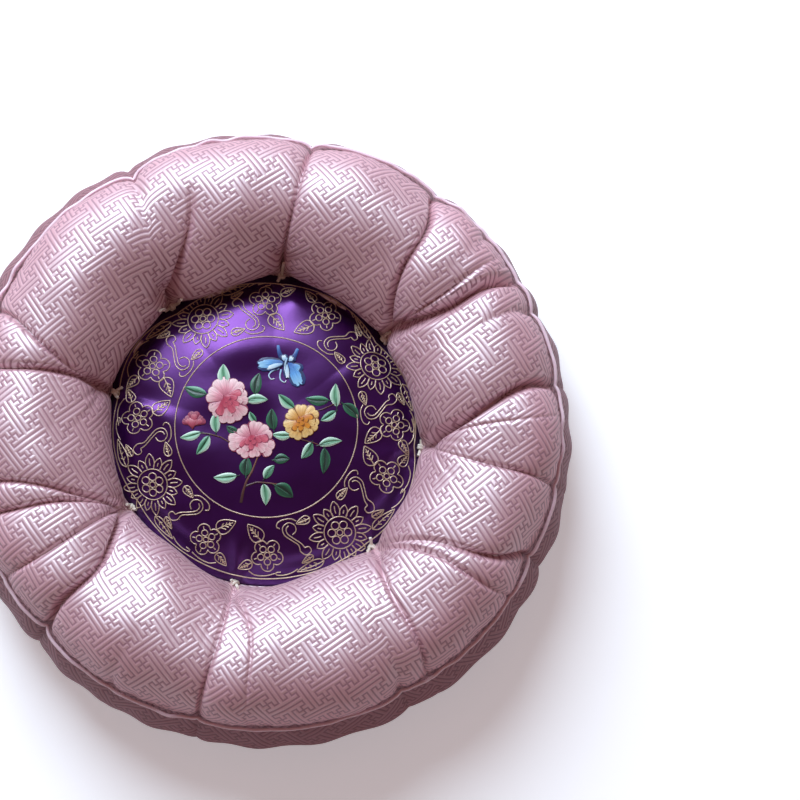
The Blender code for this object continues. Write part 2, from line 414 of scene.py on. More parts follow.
def cover_rows(columns):
    """Tables of the cover's radius, height and angle, a row for each step from the dish's
    middle over the crown and down the band to the middle of the base."""
    share = np.linspace(0.0, 1.0, CROWN_ROWS + 1)
    outward = 0.5 - 0.5 * np.cos(np.pi * share)
    angle = fold_angles(columns, outward)
    crease_radius, crease_height, bow = crease(angle[0])
    seam_radius, seam_height, pull = seam_line(angle[-1])

    # The full crown, before the folds press it in.
    out, up = outward[:, None], np.sin(np.pi * share**CREST_LEAN)[:, None]
    radius = mix(crease_radius, seam_radius, out)
    height = mix(crease_height, seam_height, out) + CREST_RISE * up
    lip = (share / LIP_REACH * np.exp(1.0 - share / LIP_REACH))[:, None]
    far_side = 1.0 + 0.6 * np.sin(np.radians(angle[0]))
    radius = radius - OVERHANG * far_side * lip * bow**0.7
    run_out = np.gradient(radius, axis=0)
    run_up = np.gradient(height, axis=0)
    length = np.hypot(run_out, run_up)
    normal_out, normal_up = -run_up / length, run_out / length
    run = np.cumsum(length, axis=0)
    from_crease, from_seam = run - run[0], run[-1] - run

    x, y = flat_places(radius, angle)
    press = fold_depth(angle, outward, radius, from_crease) + tie_gathers(x, y)
    press += tuck_depth(angle, radius, from_seam) - stuffing(x, y)
    press *= np.minimum(1.0, from_crease / 0.012) * (1.0 - np.exp(-from_seam / 0.010))
    press += seam_puckers(angle, from_seam, 3, 0.0026) * np.minimum(1.0, from_seam / 0.002)
    press += seam_puckers(angle, from_crease, 4, 0.0008) * np.minimum(1.0, from_crease / 0.012)
    radius, height = radius - normal_out * press, height - normal_up * press
    radius = radius - SEAM_GROOVE * np.exp(-from_seam / 0.0025)
    crown = [radius, height, angle]

    # The dish under the medallion.
    share = np.linspace(0.0, 1.0, DISH_ROWS + 1)[:-1, None]
    dish = [
        share * crease_radius,
        dish_height(share, crease_height) - DISH_GAP * (1.0 - share**60),
        np.repeat(angle[:1], DISH_ROWS, axis=0),
    ]

    # The band round the side, and the base.
    share = np.linspace(0.0, 1.0, BAND_ROWS + 1)[1:, None]
    round_band = np.repeat(angle[-1:], BAND_ROWS, axis=0)
    bulge = np.interp(round_band % 360.0, BAND_PLACES, BAND_BULGES)
    radius = mix(seam_radius, BASE_SEAM_RADIUS, share) + bulge * np.sin(np.pi * share)
    height = mix(seam_height, BASE_SEAM_HEIGHT, share)
    down = (SEAM_HEIGHT - BASE_SEAM_HEIGHT) * share
    press = seam_puckers(round_band, down, 7, 0.0018)
    press += seam_puckers(round_band, down[-1] - down, 8, 0.0014)
    press += pull * 0.8 * np.exp(-down / 0.030)
    ripple = math.tau * round_band / BAND_RIPPLE + 2.0 * np.sin(np.radians(3.0 * round_band))
    press += 0.0012 * np.sin(ripple)
    radius = radius - press * np.sin(np.pi * share) ** 0.5 - SEAM_GROOVE * np.exp(-down / 0.003)
    band = [radius, height, round_band]

    share = np.linspace(0.0, 1.0, BASE_ROWS + 1)[1:, None]
    under = np.repeat(angle[-1:], BASE_ROWS, axis=0)
    outer = mix(BASE_SEAM_RADIUS, BASE_FLAT_RADIUS, np.minimum(1.0, 2.0 * share))
    inner = np.clip(2.0 - 2.0 * share, 0.0, 1.0)
    base = [
        outer * inner + 0.0 * under,
        BASE_SEAM_HEIGHT * (1.0 - np.minimum(1.0, 2.0 * share)) ** 2 + 0.0 * under,
        under,
    ]
    return [np.concatenate(rows) for rows in zip(dish, crown, band, base)]


def write_fret_map(piece, radius, height, angle):
    """Unrolls the cloth into a UV map in metres, so that the woven pattern follows it.

    The dish and crown unroll as one round, and the band and base as a strip."""
    columns = angle.shape[1]
    turn = np.radians(angle)
    crest, seam = DISH_ROWS + CROWN_ROWS // 2, DISH_ROWS + CROWN_ROWS
    along = np.hypot(np.diff(radius, axis=0), np.diff(height, axis=0))[:, :-1]
    along = sum(np.roll(along, shift, axis=1) for shift in range(-9, 10)) / 19.0
    along = np.concatenate([along, along[:, :1]], axis=1)
    out = np.concatenate([0.0 * along[:1], np.cumsum(along, axis=0)])
    from_middle = out - out[crest] + radius[crest].mean()
    disc = np.stack([from_middle * np.cos(turn), from_middle * np.sin(turn)], axis=-1)
    strip = np.stack([turn * SEAM_RADIUS, out[seam] - out], axis=-1)

    loops = corner_points(piece)
    rows = loops // columns
    lowest_row = rows.reshape(-1, 4).min(axis=1)
    on_strip = np.repeat(lowest_row >= seam, 4)
    places = np.where(on_strip[:, None], strip.reshape(-1, 2)[loops], disc.reshape(-1, 2)[loops])
    write_map(piece, "unrolled_cloth", places)


def make_cover(settings):
    """The whole cover as one closed sheet: dish, crown, band and base."""
    radius, height, angle = cover_rows(lobe_columns(settings.columns))
    # The first column comes again at the end, so that the cloth's map has its own edge.
    radius, height = (np.concatenate([t, t[:, :1]], axis=1) for t in (radius, height))
    angle = np.concatenate([angle, angle[:, :1] + 360.0], axis=1)
    rows, across = radius.shape
    cover = wrapped_grid("cushion_cover", across - 1, rows - 1)
    place_points(cover, np.stack([*flat_places(radius, angle), height], axis=-1))
    write_fret_map(cover, radius, height, angle)
    edited(cover, merged, facing_out)
    tones = np.array([settings.ground, settings.ground_deep, settings.figure])
    cover.data.materials.append(satin_damask("silk_damask_woven_pink", tones, 1.0))
    # The band has the crown's tones darkened, which is painted shade, and less coat gloss.
    cover.data.materials.append(satin_damask("silk_damask_band_painted_shade", tones * BAND_PAINTED_SHADE, 0.15))
    on_band = []
    for face in cover.data.polygons:
        x, y, height = face.center
        reach = math.hypot(x - AXIS[0], y - AXIS[1])
        on_band.append(height < SEAM_HEIGHT and reach > BAND_FROM)
    cover.data.polygons.foreach_set("material_index", np.array(on_band, np.int32))
    finished(cover, stands_for=["cushion"])


# ---------- the medallion

MEDALLION_COLUMNS, MEDALLION_ROWS = 360, 84
MEDALLION_INSET = 0.0006
MEDALLION_CLOTH = 0.0010  # its thickness

# Long pulls in the medallion's satin: the tie each starts from, its turn in degrees from
# the way to the middle, its length, half width and height in metres.
Pull = namedtuple("Pull", "tie turn length width height")
PULLS = (
    Pull(0, 12.0, 0.045, 0.006, 0.0033),
    Pull(0, -24.0, 0.030, 0.005, 0.0024),
    Pull(1, 30.0, 0.040, 0.007, 0.0030),
    Pull(1, -20.0, 0.035, 0.006, 0.0027),
    Pull(2, 8.0, 0.030, 0.006, 0.0027),
    Pull(3, -12.0, 0.060, 0.007, 0.0045),
    Pull(3, 26.0, 0.030, 0.006, 0.0024),
    Pull(4, -28.0, 0.040, 0.006, 0.0033),
    Pull(4, 20.0, 0.030, 0.005, 0.0027),
    Pull(5, 4.0, 0.055, 0.007, 0.0039),
    Pull(5, -36.0, 0.035, 0.005, 0.0030),
    Pull(6, 10.0, 0.035, 0.006, 0.0027),
    Pull(6, -38.0, 0.040, 0.005, 0.0033),
    Pull(7, 20.0, 0.045, 0.007, 0.0045),
    Pull(7, -6.0, 0.050, 0.006, 0.0042),
    Pull(7, -34.0, 0.035, 0.005, 0.0033),
)
GUTTER_DEPTH, GUTTER_PLACE, GUTTER_WIDTH = 0.0048, 0.012, 0.0075


def medallion_relief(x, y, share, bow, crease_radius):
    """How far the stretched satin lies below its dome: a gutter inside the rim and soft pulls."""
    from_rim = (1.0 - share) * crease_radius
    depth = GUTTER_DEPTH * bell(from_rim - GUTTER_PLACE, GUTTER_WIDTH) * (0.3 + 0.7 * bow)
    depth = depth * (1.0 + 0.4 * (y - AXIS[1]) / 0.14)
    for pull in PULLS:
        tie = TIES[pull.tie]
        place = around(tie.angle, tie.radius)
        dx, dy = x - place.x, y - place.y
        heading = math.radians(tie.angle + 180.0 + pull.turn)
        ahead = dx * math.cos(heading) + dy * math.sin(heading)
        aside = dy * math.cos(heading) - dx * math.sin(heading)
        spread = pull.width * (0.5 + np.maximum(ahead, 0.0) / pull.length)
        rise = pull.height * bell(aside, spread) * bell(ahead, pull.length)
        depth -= rise * np.clip(ahead / 0.012, 0.0, 1.0)
    uneven = waves(x, y, np.random.default_rng(21), (0.040, 0.055, 0.075, 0.100), 0.008)
    return (depth + uneven * (1.0 - share**6)) * (1.0 - share**40)


def border_limit(angle):
    """How far out the embroidered border reaches at each angle."""
    far = 0.5 + 0.5 * np.sin(np.radians(angle))
    return crease(angle)[0] - mix(NEAR_MARGIN, FAR_MARGIN, far)


def make_medallion(settings):
    """The round of satin over the dish. Its points also hold how far past the border they are."""
    angle = np.linspace(0.0, 360.0, MEDALLION_COLUMNS + 1)[None, :]
    share = np.linspace(0.0, 1.0, MEDALLION_ROWS + 1)[:, None] ** 0.85
    crease_radius, crease_height, bow = crease(angle)
    radius = (crease_radius - MEDALLION_INSET) * share
    x, y = flat_places(radius, angle)
    height = dish_height(share, crease_height) - medallion_relief(x, y, share, bow, crease_radius)
    medallion = wrapped_grid("medallion_cloth", MEDALLION_COLUMNS, MEDALLION_ROWS)
    place_points(medallion, np.stack([x, y, height], axis=-1))
    past_border = medallion.data.attributes.new("past_border", "FLOAT", "POINT")
    past = radius - border_limit(angle)
    past_border.data.foreach_set("value", past.reshape(-1).astype(np.float32))
    flat = np.stack([x, y], axis=-1).reshape(-1, 2)
    write_map(medallion, "flat_cloth", flat[corner_points(medallion)])
    edited(medallion, merged, facing_out)
    if medallion.data.polygons[0].normal.z < 0.0:
        edited(medallion, bpy.ops.mesh.flip_normals)
    shell = medallion.modifiers.new("Thickness", "SOLIDIFY")
    shell.thickness = MEDALLION_CLOTH
    shell.offset = -1.0
    bpy.ops.object.modifier_apply(modifier=shell.name)
    medallion.data.materials.append(dyed_satin(settings))
    finished(medallion, stands_for=["medallion"])


# ---------- tubes and threads


def surface_of(*pieces):
    """A search tree of finished pieces' surfaces."""
    corners, faces = [], []
    for piece in pieces:
        start = len(corners)
        corners += [vert.co.copy() for vert in piece.data.vertices]
        faces += [[start + index for index in face.vertices] for face in piece.data.polygons]
    return BVHTree.FromPolygons(corners, faces)


def laid(surface, x, y, lift):
    """The point on top of a surface at x and y, lifted a little off it."""
    landing, normal = surface.ray_cast(Vector((x, y, ABOVE_ALL)), Vector((0.0, 0.0, -1.0)))[:2]
    return landing + normal * lift


def tubes(name, runs, radius, sides):
    """Round threads along lists of points, as one mesh."""
    data = bpy.data.curves.new(name, "CURVE")
    data.dimensions = "3D"
    data.bevel_depth = radius
    data.bevel_resolution = sides
    data.use_fill_caps = True
    for points, closed in runs:
        spline = data.splines.new("POLY")
        spline.points.add(len(points) - 1)
        for place, point in zip(spline.points, points):
            place.co = (*point, 1.0)
        spline.use_cyclic_u = closed
    pick(linked(name, data))
    bpy.ops.object.convert(target="MESH")
    return bpy.context.object


def make_welt():
    """The cord sewn into the top seam, drawn in where a fold pulls."""
    rng = np.random.default_rng(9)
    angles = np.arange(0.0, 360.0, 0.4)
    waver = np.zeros_like(angles)
    for count in range(20, 70, 7):
        waver += WELT_WAVER * np.sin(np.radians(angles) * count + rng.uniform(0.0, math.tau))
    radius, height = seam_line(angles)[:2]
    radius = radius + WELT_RADIUS * 0.9 + waver
    height = height + WELT_RADIUS * 0.5 + waver
    points = [around(*place) for place in zip(angles, radius, height)]
    welt = tubes("welt_cover", [(points, True)], WELT_RADIUS * 0.75, 3)
    welt.data.materials.append(bias_satin())
    finished(welt, stands_for=["top_welt"])


# ---------- ties

KNOT_TURNS, KNOT_STEPS = 1.6, 36
KNOT_LENGTH, KNOT_RADIUS = 0.0034, 0.0024


def thread_run(tie, surface, lift):
    """The tie's own path over the crease, from one free end to the other."""
    place = around(tie.angle, tie.radius)
    first = around(tie.heading_1, tie.length_1) - around(0.0, 0.0)
    second = around(tie.heading_2, tie.length_2) - around(0.0, 0.0)
    points = []
    for share in np.linspace(0.0, 1.0, 25):
        offset = first * (1.0 - share) ** 2 + second * share**2
        points.append(laid(surface, place.x + offset.x, place.y + offset.y, lift))
    return points


def make_ties(cover, medallion):
    """A length of twine over the crease at each tie, with a knot wound round its middle."""
    surface = surface_of(cover, medallion)
    for tie in TIES:
        path = thread_run(tie, surface, TIE_RADIUS)
        middle = path[len(path) // 2] + Vector((0.0, 0.0, TIE_RADIUS * 0.6))
        along = (path[-1] - path[0]).normalized()
        aside = along.cross(Vector((0.0, 0.0, 1.0))).normalized()
        up = aside.cross(along)
        knot = []
        for step in range(KNOT_STEPS + 1):
            turn = math.tau * KNOT_TURNS * step / KNOT_STEPS
            shift = along * (step / KNOT_STEPS - 0.5) * KNOT_LENGTH
            knot.append(middle + shift + (aside * math.cos(turn) + up * math.sin(turn)) * KNOT_RADIUS)
        thread = tubes(tie.name + "_thread", [(path, False), (knot, False)], TIE_RADIUS, 2)
        thread.data.materials.append(twisted_cotton())
        finished(thread, stands_for=[tie.name])


# ---------- gold embroidery

# The embroidery is laid out in millimetres from its own middle, +Y away from the sitter.
EMBROIDERY_MIDDLE = (0.0018, 0.0040)
GOLD_RADIUS = 0.00054
GOLD_STEP = 1.4  # mm
BLOSSOM_SIZE = 14.5  # mm, a blossom's radius
# The border line from the crease, on the near side and on the far side, where the crown leans in.
NEAR_MARGIN, FAR_MARGIN = 0.0030, 0.0095
BORDER_RADIUS = 0.1360  # the border line's, before it is drawn in
DRAWN_FROM, DRAWN_OVER = 0.095, 0.040  # where the drawing in starts, and how soon it is full


def polar(x, y, angle, radius):
    turn = math.radians(angle)
    return x + radius * math.cos(turn), y + radius * math.sin(turn)


def arc_between(a, b, bulge, count):
    """A curve from a to b that bows out sideways by a share of its length."""
    a, b = np.array(a, float), np.array(b, float)
    side = np.array([a[1] - b[1], b[0] - a[0]]) * bulge
    return [a + (b - a) * s + side * 4.0 * s * (1.0 - s) for s in np.linspace(0.0, 1.0, count + 1)]


def spoke(x, y, angle, near, far, bulge, count):
    """A run of thread straight out from a flower's middle, or bowed a little."""
    return arc_between(polar(x, y, angle, near), polar(x, y, angle, far), bulge, count), False


def ring(x, y, radius, count):
    return [polar(x, y, 360.0 * step / count, radius) for step in range(count)]


def scroll(points, count=9):
    """A smooth line through points, each a list of x and y."""
    line = np.array(points, float)
    ends = [2.0 * line[0] - line[1], *line, 2.0 * line[-1] - line[-2]]
    share = np.arange(count)[:, None] / count
    runs = []
    for a, b, c, d in zip(ends, ends[1:], ends[2:], ends[3:]):
        bend = 2.0 * a - 5.0 * b + 4.0 * c - d
        runs += list(b + 0.5 * share * (c - a + share * (bend + share * (3.0 * (b - c) + d - a))))
    return runs + [line[-1]]


def lobed(x, y, turn, count, near, far):
    """A closed outline with full round lobes."""
    points = []
    for step in range(count * 10):
        angle = 36.0 * step / count
        lobe = abs(math.sin(math.radians(angle * count / 2.0))) ** 0.7
        points.append(polar(x, y, turn + angle + 180.0 / count, mix(near, far, lobe)))
    return points


def pointed_petal(x, y, angle, near, far, half_width):
    """A petal that starts and ends on a circle and comes to a point outside it."""
    start, end = polar(x, y, angle - half_width, near), polar(x, y, angle + half_width, near)
    tip = polar(x, y, angle, far)
    return arc_between(start, tip, -0.17, 6) + arc_between(tip, end, -0.17, 6)[1:]


def lotus(x, y, turn):
    """A big bloom: a rosette in a ring, inside two ranks of pointed petals."""
    runs = [(ring(x, y, 2.6, 12), True), (ring(x, y, 14.0, 34), True)]
    for step in range(6):
        runs.append((ring(*polar(x, y, turn + 60.0 * step, 7.2), 3.5, 14), True))
    for step in range(16):
        angle = turn + 22.5 * step
        far = 28.0 if step % 2 else 24.5
        runs.append((pointed_petal(x, y, angle, 15.0, far, 11.5), False))
        runs.append(spoke(x, y, angle, 17.0, far - 4.5, 0.05, 3))
    return runs


def blossom(x, y, turn):
    """A five-petalled flower: a ring in each petal of a lobed outline, round a ringed middle."""
    size = BLOSSOM_SIZE
    runs = [(ring(x, y, size * 0.17, 10), True), (lobed(x, y, turn, 5, size * 0.66, size), True)]
    for step in range(5):
        angle = turn + 72.0 * step
        runs.append((ring(*polar(x, y, angle, size * 0.42), size * 0.2, 12), True))
        runs.append(spoke(x, y, angle, size * 0.68, size * 0.85, 0.0, 2))
    return runs


def gold_leaf(x, y, heading, length, width):
    """A pointed leaf, wide near its root, with its veins."""
    runs = []
    for side in (1.0, -1.0):
        edge = []
        for share in np.linspace(0.0, 1.0, 12):
            out = side * width / 2.0 * math.sin(math.pi * share**0.62) ** 0.85
            edge.append(polar(*polar(x, y, heading, length * share), heading + 90.0, out))
        runs.append((edge, False))
    runs.append(spoke(x, y, heading, 0.0, length * 0.86, 0.03, 6))
    for share in (0.26, 0.46, 0.64):
        root = polar(x, y, heading, length * share)
        for side in (-42.0, 42.0):
            runs.append(spoke(*root, heading + side, 0.0, width * 0.40 * (1.15 - share), 0.0, 2))
    return runs


# Each border panel: the angle of its lotus and of the two blossoms beside it.
PANELS = ((120.3, 91.0, 151.5), (206.6, 175.5, 241.8), (305.0, 270.5, 338.0), (30.4, 1.5, 63.2))
INNER_RING, OUTER_RING = 81.0, 135.5  # the border's own lines
MIDDLE_RING = 114.0  # where its flowers stand

# What fills a panel on each side of its lotus, before that side is mirrored for the other.
# A leaf is its place (degrees along the border from its flower, and radius), its heading
# from the way along the border, its length and its width. A scroll is a list of places.
LOTUS_LEAVES = (
    (11.5, 129.0, 0.0, 26.0, 8.0),
    (14.8, 121.5, 14.0, 12.0, 5.5),
    (9.5, 89.8, -2.0, 13.0, 7.0),
)
LOTUS_SCROLLS = (
    ((21.2, 98.6), (19.0, 96.2), (18.9, 91.2), (22.0, 87.9), (25.6, 91.0), (25.4, 97.5), (22.2, 103.6))
    + ((19.6, 109.0), (19.4, 115.0), (17.4, 119.2), (14.9, 117.0), (15.3, 112.8), (17.2, 112.6)),
    ((22.3, 90.4), (23.9, 92.6), (23.7, 97.0), (20.8, 102.8), (18.2, 108.2), (17.2, 112.6)),
    ((22.5, 129.2), (25.0, 131.6), (28.0, 132.8), (30.8, 132.2), (31.2, 130.0), (29.2, 129.6)),
    ((17.4, 88.0), (20.0, 85.0), (24.5, 84.4), (28.0, 86.2), (29.0, 89.8), (27.4, 91.6)),
)
BLOSSOM_LEAVES = ((2.5, 101.5, -47.0, 19.0, 12.5), (6.5, 121.5, 30.0, 14.0, 8.5))
BLOSSOM_SCROLLS = (((-3.0, 130.6), (1.0, 132.6), (5.0, 132.4), (7.6, 129.4)),)


def gold_layout():
    """All the couched lines of the medallion, as (points in millimetres, closed)."""
    runs = [(ring(0.0, 0.0, INNER_RING, 220), True), (ring(0.0, 0.0, OUTER_RING, 330), True)]
    for lotus_at, *blossoms_at in PANELS:
        runs += lotus(*polar(0.0, 0.0, lotus_at, MIDDLE_RING), lotus_at)
        for at in blossoms_at:
            side = 1.0 if turned(at - lotus_at) > 0.0 else -1.0
            runs += blossom(*polar(0.0, 0.0, at, MIDDLE_RING), at)
            for base, leaves, scrolls in (
                (lotus_at, LOTUS_LEAVES, LOTUS_SCROLLS),
                (at, BLOSSOM_LEAVES, BLOSSOM_SCROLLS),
            ):
                for along, radius, lean, length, width in leaves:
                    angle = base + side * along
                    heading = angle + side * (90.0 - lean)
                    runs += gold_leaf(*polar(0.0, 0.0, angle, radius), heading, length, width)
                for places in scrolls:
                    spots = [polar(0.0, 0.0, base + side * along, radius) for along, radius in places]
                    runs.append((scroll(spots), False))
    return runs


def on_medallion(point):
    """A design point's place on the cushion. The border is drawn in with the crease at each tie."""
    x, y = (EMBROIDERY_MIDDLE[axis] + point[axis] / 1000.0 for axis in (0, 1))
    radius, angle = max(1e-6, math.hypot(x, y)), math.degrees(math.atan2(y, x))
    limit = float(border_limit(np.array([angle]))[0])
    outer = min(1.0, max(0.0, (radius - DRAWN_FROM) / DRAWN_OVER))
    drawn = min(limit, radius * mix(1.0, limit / BORDER_RADIUS, outer))
    return AXIS[0] + x / radius * drawn, AXIS[1] + y / radius * drawn


def evenly_spaced(points, closed):
    """The line again, with its points a thread's step apart."""
    line = np.array(points + points[:1] if closed else points, float)
    along = np.concatenate([[0.0], np.cumsum(np.hypot(*np.diff(line, axis=0).T))])
    count = max(2, round(along[-1] / GOLD_STEP))
    places = np.linspace(0.0, along[-1], count + 1)[: count if closed else count + 1]
    return np.stack([np.interp(places, along, line[:, axis]) for axis in (0, 1)], axis=-1)


def make_gold(settings, medallion):
    """The couched thread: every line of the layout, laid on the medallion."""
    surface = surface_of(medallion)
    runs = []
    for points, closed in gold_layout():
        spots = [on_medallion(point) for point in evenly_spaced(points, closed)]
        runs.append(([laid(surface, *spot, GOLD_RADIUS * 0.5) for spot in spots], closed))
    thread = tubes("couched_gold", runs, GOLD_RADIUS, 0)
    thread.data.materials.append(gilt_thread(settings))
    finished(thread)


# ---------- silk embroidery

SILK_LIFT = 0.0003  # from one layer of silk to the next
SILK_PUFF = 0.0007

Silk = namedtuple("Silk", "root middle edge")
PINK_PETAL = Silk("#AC4660", "#D98896", "#EDCCCA")
PINK_HEART = Silk("#8E1836", "#BE405A", "#DA7080")
PINK_EDGE = Silk("#8A2A48", "#8A2A48", "#9A3C58")
GOLD_PETAL = Silk("#B4641A", "#D89A40", "#EBCB88")
GOLD_HEART = Silk("#8C3E08", "#CA7414", "#E49830")
GOLD_EDGE = Silk("#7E420C", "#7E420C", "#8E5216")
ROSE_PETAL = Silk("#7A1A32", "#AC3E54", "#D07A86")
DARK_LEAF = Silk("#08241A", "#124830", "#2E7652")
PALE_LEAF = Silk("#4C8C66", "#96C8A6", "#DCEEDE")
MID_LEAF = Silk("#143F2A", "#337A54", "#74B08E")
PALE_WING = Silk("#8CB8DC", "#BCDCEC", "#E4F0F2")
BLUE_WING = Silk("#2458A8", "#4E96D4", "#9CD2EE")
DEEP_WING = Silk("#122C66", "#1E4A92", "#3A78BC")
NAVY_WING = Silk("#0E2454", "#0E2454", "#14346E")
BARK_SILK = Silk("#3A1C1C", "#5E3428", "#7E4C34")


def silk_blend(silk, share):
    """The silk's colour at each share of the way from its root to its edge."""
    stops = np.array([linear(code) for code in silk])
    return np.stack([np.interp(share, (0.0, 0.5, 1.0), stops[:, axis]) for axis in range(3)], axis=-1)


class SilkPatches:
    """Satin-stitched shapes, each a small puffed sheet of silk, gathered into one piece."""

    def __init__(self, surface):
        self.surface = surface
        self.sheets = []

    def add(self, outline, silk, layer, along, across, edged=False):
        """Lays one patch. The outline gives x and y in millimetres at each share along and across.

        The silk is shaded from root to tip or, if edged, from one side to the other."""
        a = np.linspace(0.0, 1.0, along + 1)[None, :] + np.zeros((across + 1, 1))
        s = np.linspace(-1.0, 1.0, across + 1)[:, None] + np.zeros((1, along + 1))
        x, y = outline(a, s)
        roundness = np.sqrt(np.clip(1.0 - s**2, 0.0, 1.0))
        puff = SILK_PUFF * roundness * np.sqrt(np.sin(np.pi * np.clip(a, 0.02, 0.98)))
        points = []
        for px, py, high in zip(x.flat, y.flat, puff.flat):
            points.append(laid(self.surface, *on_medallion((px, py)), SILK_LIFT * layer + high))
        sheet = wrapped_grid("silk_patch", along, across)
        place_points(sheet, np.array(points))
        colour = np.ones((a.size, 4), np.float32)
        colour[:, :3] = silk_blend(silk, ((s + 1.0) / 2.0 if edged else a).reshape(-1))
        shades = sheet.data.color_attributes.new("silk_colour", "FLOAT_COLOR", "POINT")
        shades.data.foreach_set("color", colour.reshape(-1))
        middle = along // 2
        length = math.hypot(x[0, -1] - x[0, 0], y[0, -1] - y[0, 0]) / 1000.0
        width = math.hypot(x[-1, middle] - x[0, middle], y[-1, middle] - y[0, middle]) / 1000.0
        stitched = np.stack([a * length, s * max(0.002, width) / 2.0], axis=-1).reshape(-1, 2)
        write_map(sheet, "stitches", stitched[corner_points(sheet)])
        self.sheets.append(sheet)

    def joined(self, name):
        pick(*self.sheets)
        bpy.ops.object.join()
        piece = bpy.context.object
        piece.name = piece.data.name = name
        return piece


def set_out(x, y, heading, reach, left):
    """The points at a reach along a heading and at a distance to its left."""
    ahead, aside = math.cos(math.radians(heading)), math.sin(math.radians(heading))
    return x + reach * ahead - left * aside, y + reach * aside + left * ahead


def petal_outline(x, y, heading, length, width):
    """A petal: narrow at its root, wide and softly notched at its end."""

    def outline(a, s):
        reach = length * a * (1.0 - 0.22 * s**2 - 0.10 * bell(s, 0.22))
        swell = 0.30 + 0.70 * np.sin(np.pi * np.clip(a, 0.0, 1.0) * 0.62) ** 0.9
        return set_out(x, y, heading, reach, width / 2.0 * s * swell)

    return outline


def half_leaf_outline(x, y, heading, length, width, side):
    """One half of a pointed leaf, from its midrib out to its edge on one side."""

    def outline(a, s):
        out = (s + 1.0) / 2.0 * side * width / 2.0 * np.sin(np.pi * a**0.85) ** 0.8
        bow = length * 0.12 * np.sin(np.pi * a) * 0.5
        return set_out(x, y, heading, length * a, out + bow)

    return outline


def fan_outline(x, y, heading, length, half_fan, lobes):
    """A petal that opens like a fan and ends in small round lobes."""

    def outline(a, s):
        lobe = 0.91 + 0.09 * np.abs(np.sin(np.pi * lobes * (s + 1.0) / 2.0)) ** 0.6
        reach = length * a * mix(1.0, lobe * (1.0 - 0.10 * s**2), a)
        turn = np.radians(heading + half_fan * s)
        return x + reach * np.cos(turn), y + reach * np.sin(turn)

    return outline


# A peony's ranks of petals, the lowest first: how many, how long for its size, degrees from
# one to the next, half a petal's spread in degrees, its lobes, and how far back its root is.
PEONY_RANKS = (
    (7, 1.00, 51.0, 29.0, 2, 0.00),
    (5, 0.82, 44.0, 27.0, 2, 0.08),
    (4, 0.80, 37.0, 21.0, 1, 0.24),
    (3, 0.62, 37.0, 22.0, 1, 0.28),
    (2, 0.42, 40.0, 25.0, 1, 0.30),
)


def peony(patches, x, y, wide, high, petals, heart, edge, turn, layer):
    """A full bloom, seen a little from one side: ranks of lobed petals that open towards turn.

    Each petal lies on a slightly larger dark one, which outlines it."""
    rng = np.random.default_rng(int(abs(x) * 7 + abs(y)))
    size = (wide + high) / 4.0
    for rank, (count, length, spread, half_fan, lobes, back) in enumerate(PEONY_RANKS):
        silk = petals if rank < 2 else heart
        root = polar(x, y, turn + 180.0, size * back)
        for index in range(count):
            heading = turn + spread * (index - (count - 1) / 2.0) + rng.uniform(-6.0, 6.0)
            stretch = 1.0 if abs(math.sin(math.radians(heading))) < 0.6 else high / wide
            reach = size * length * stretch * rng.uniform(0.90, 1.08)
            height = layer + 0.9 * rank + 0.3 * (index % 2)
            under = fan_outline(*root, heading, reach + 0.5, half_fan + 1.5, lobes)
            patches.add(under, edge, height - 0.2, 6, 16)
            patches.add(fan_outline(*root, heading, reach, half_fan, lobes), silk, height, 8, 18)


# The leaves of the spray: the middle of each, its heading in degrees, its size in
# millimetres, and its silks on the left and on the right of its midrib.
Leaf = namedtuple("Leaf", "x y heading length width left right")
LEAVES = (
    Leaf(-37, 46, 98, 20, 11, PALE_LEAF, PALE_LEAF),
    Leaf(-63, 32, 162, 21, 10, DARK_LEAF, MID_LEAF),
    Leaf(-8, 38, 80, 20, 10, DARK_LEAF, DARK_LEAF),
    Leaf(-8, 23, 2, 19, 9, PALE_LEAF, PALE_LEAF),
    Leaf(18, 22, 138, 19, 9, PALE_LEAF, MID_LEAF),
    Leaf(45, 24, 176, 21, 9, DARK_LEAF, MID_LEAF),
    Leaf(62, 28, 92, 21, 9, PALE_LEAF, PALE_LEAF),
    Leaf(75, 14, -42, 19, 10, DARK_LEAF, DARK_LEAF),
    Leaf(55, 9, 214, 16, 8, PALE_LEAF, MID_LEAF),
    Leaf(57, -15, 12, 21, 8, PALE_LEAF, PALE_LEAF),
    Leaf(51, -31, -92, 23, 9, DARK_LEAF, DARK_LEAF),
    Leaf(36, -22, 238, 17, 9, MID_LEAF, PALE_LEAF),
    Leaf(14, -8, 178, 17, 8, PALE_LEAF, PALE_LEAF),
    Leaf(6, 6, 96, 19, 10, DARK_LEAF, DARK_LEAF),
    Leaf(-12, 8, 120, 11, 6, PALE_LEAF, MID_LEAF),
    Leaf(-44, 4, 88, 20, 9, PALE_LEAF, PALE_LEAF),
    Leaf(-30, -3, 150, 12, 7, DARK_LEAF, DARK_LEAF),
    Leaf(-67, -8, 194, 19, 8, PALE_LEAF, PALE_LEAF),
    Leaf(-56, -17, 236, 20, 9, PALE_LEAF, MID_LEAF),
    Leaf(14, -30, 4, 14, 9, DARK_LEAF, DARK_LEAF),
    Leaf(-17, -36, 86, 17, 11, DARK_LEAF, DARK_LEAF),
    Leaf(-36, -45, 184, 21, 9, PALE_LEAF, PALE_LEAF),
    Leaf(3, -41, 54, 15, 8, PALE_LEAF, MID_LEAF),
    Leaf(-1, -61, -84, 19, 9, PALE_LEAF, PALE_LEAF),
    Leaf(16, -58, -32, 19, 12, DARK_LEAF, DARK_LEAF),
)

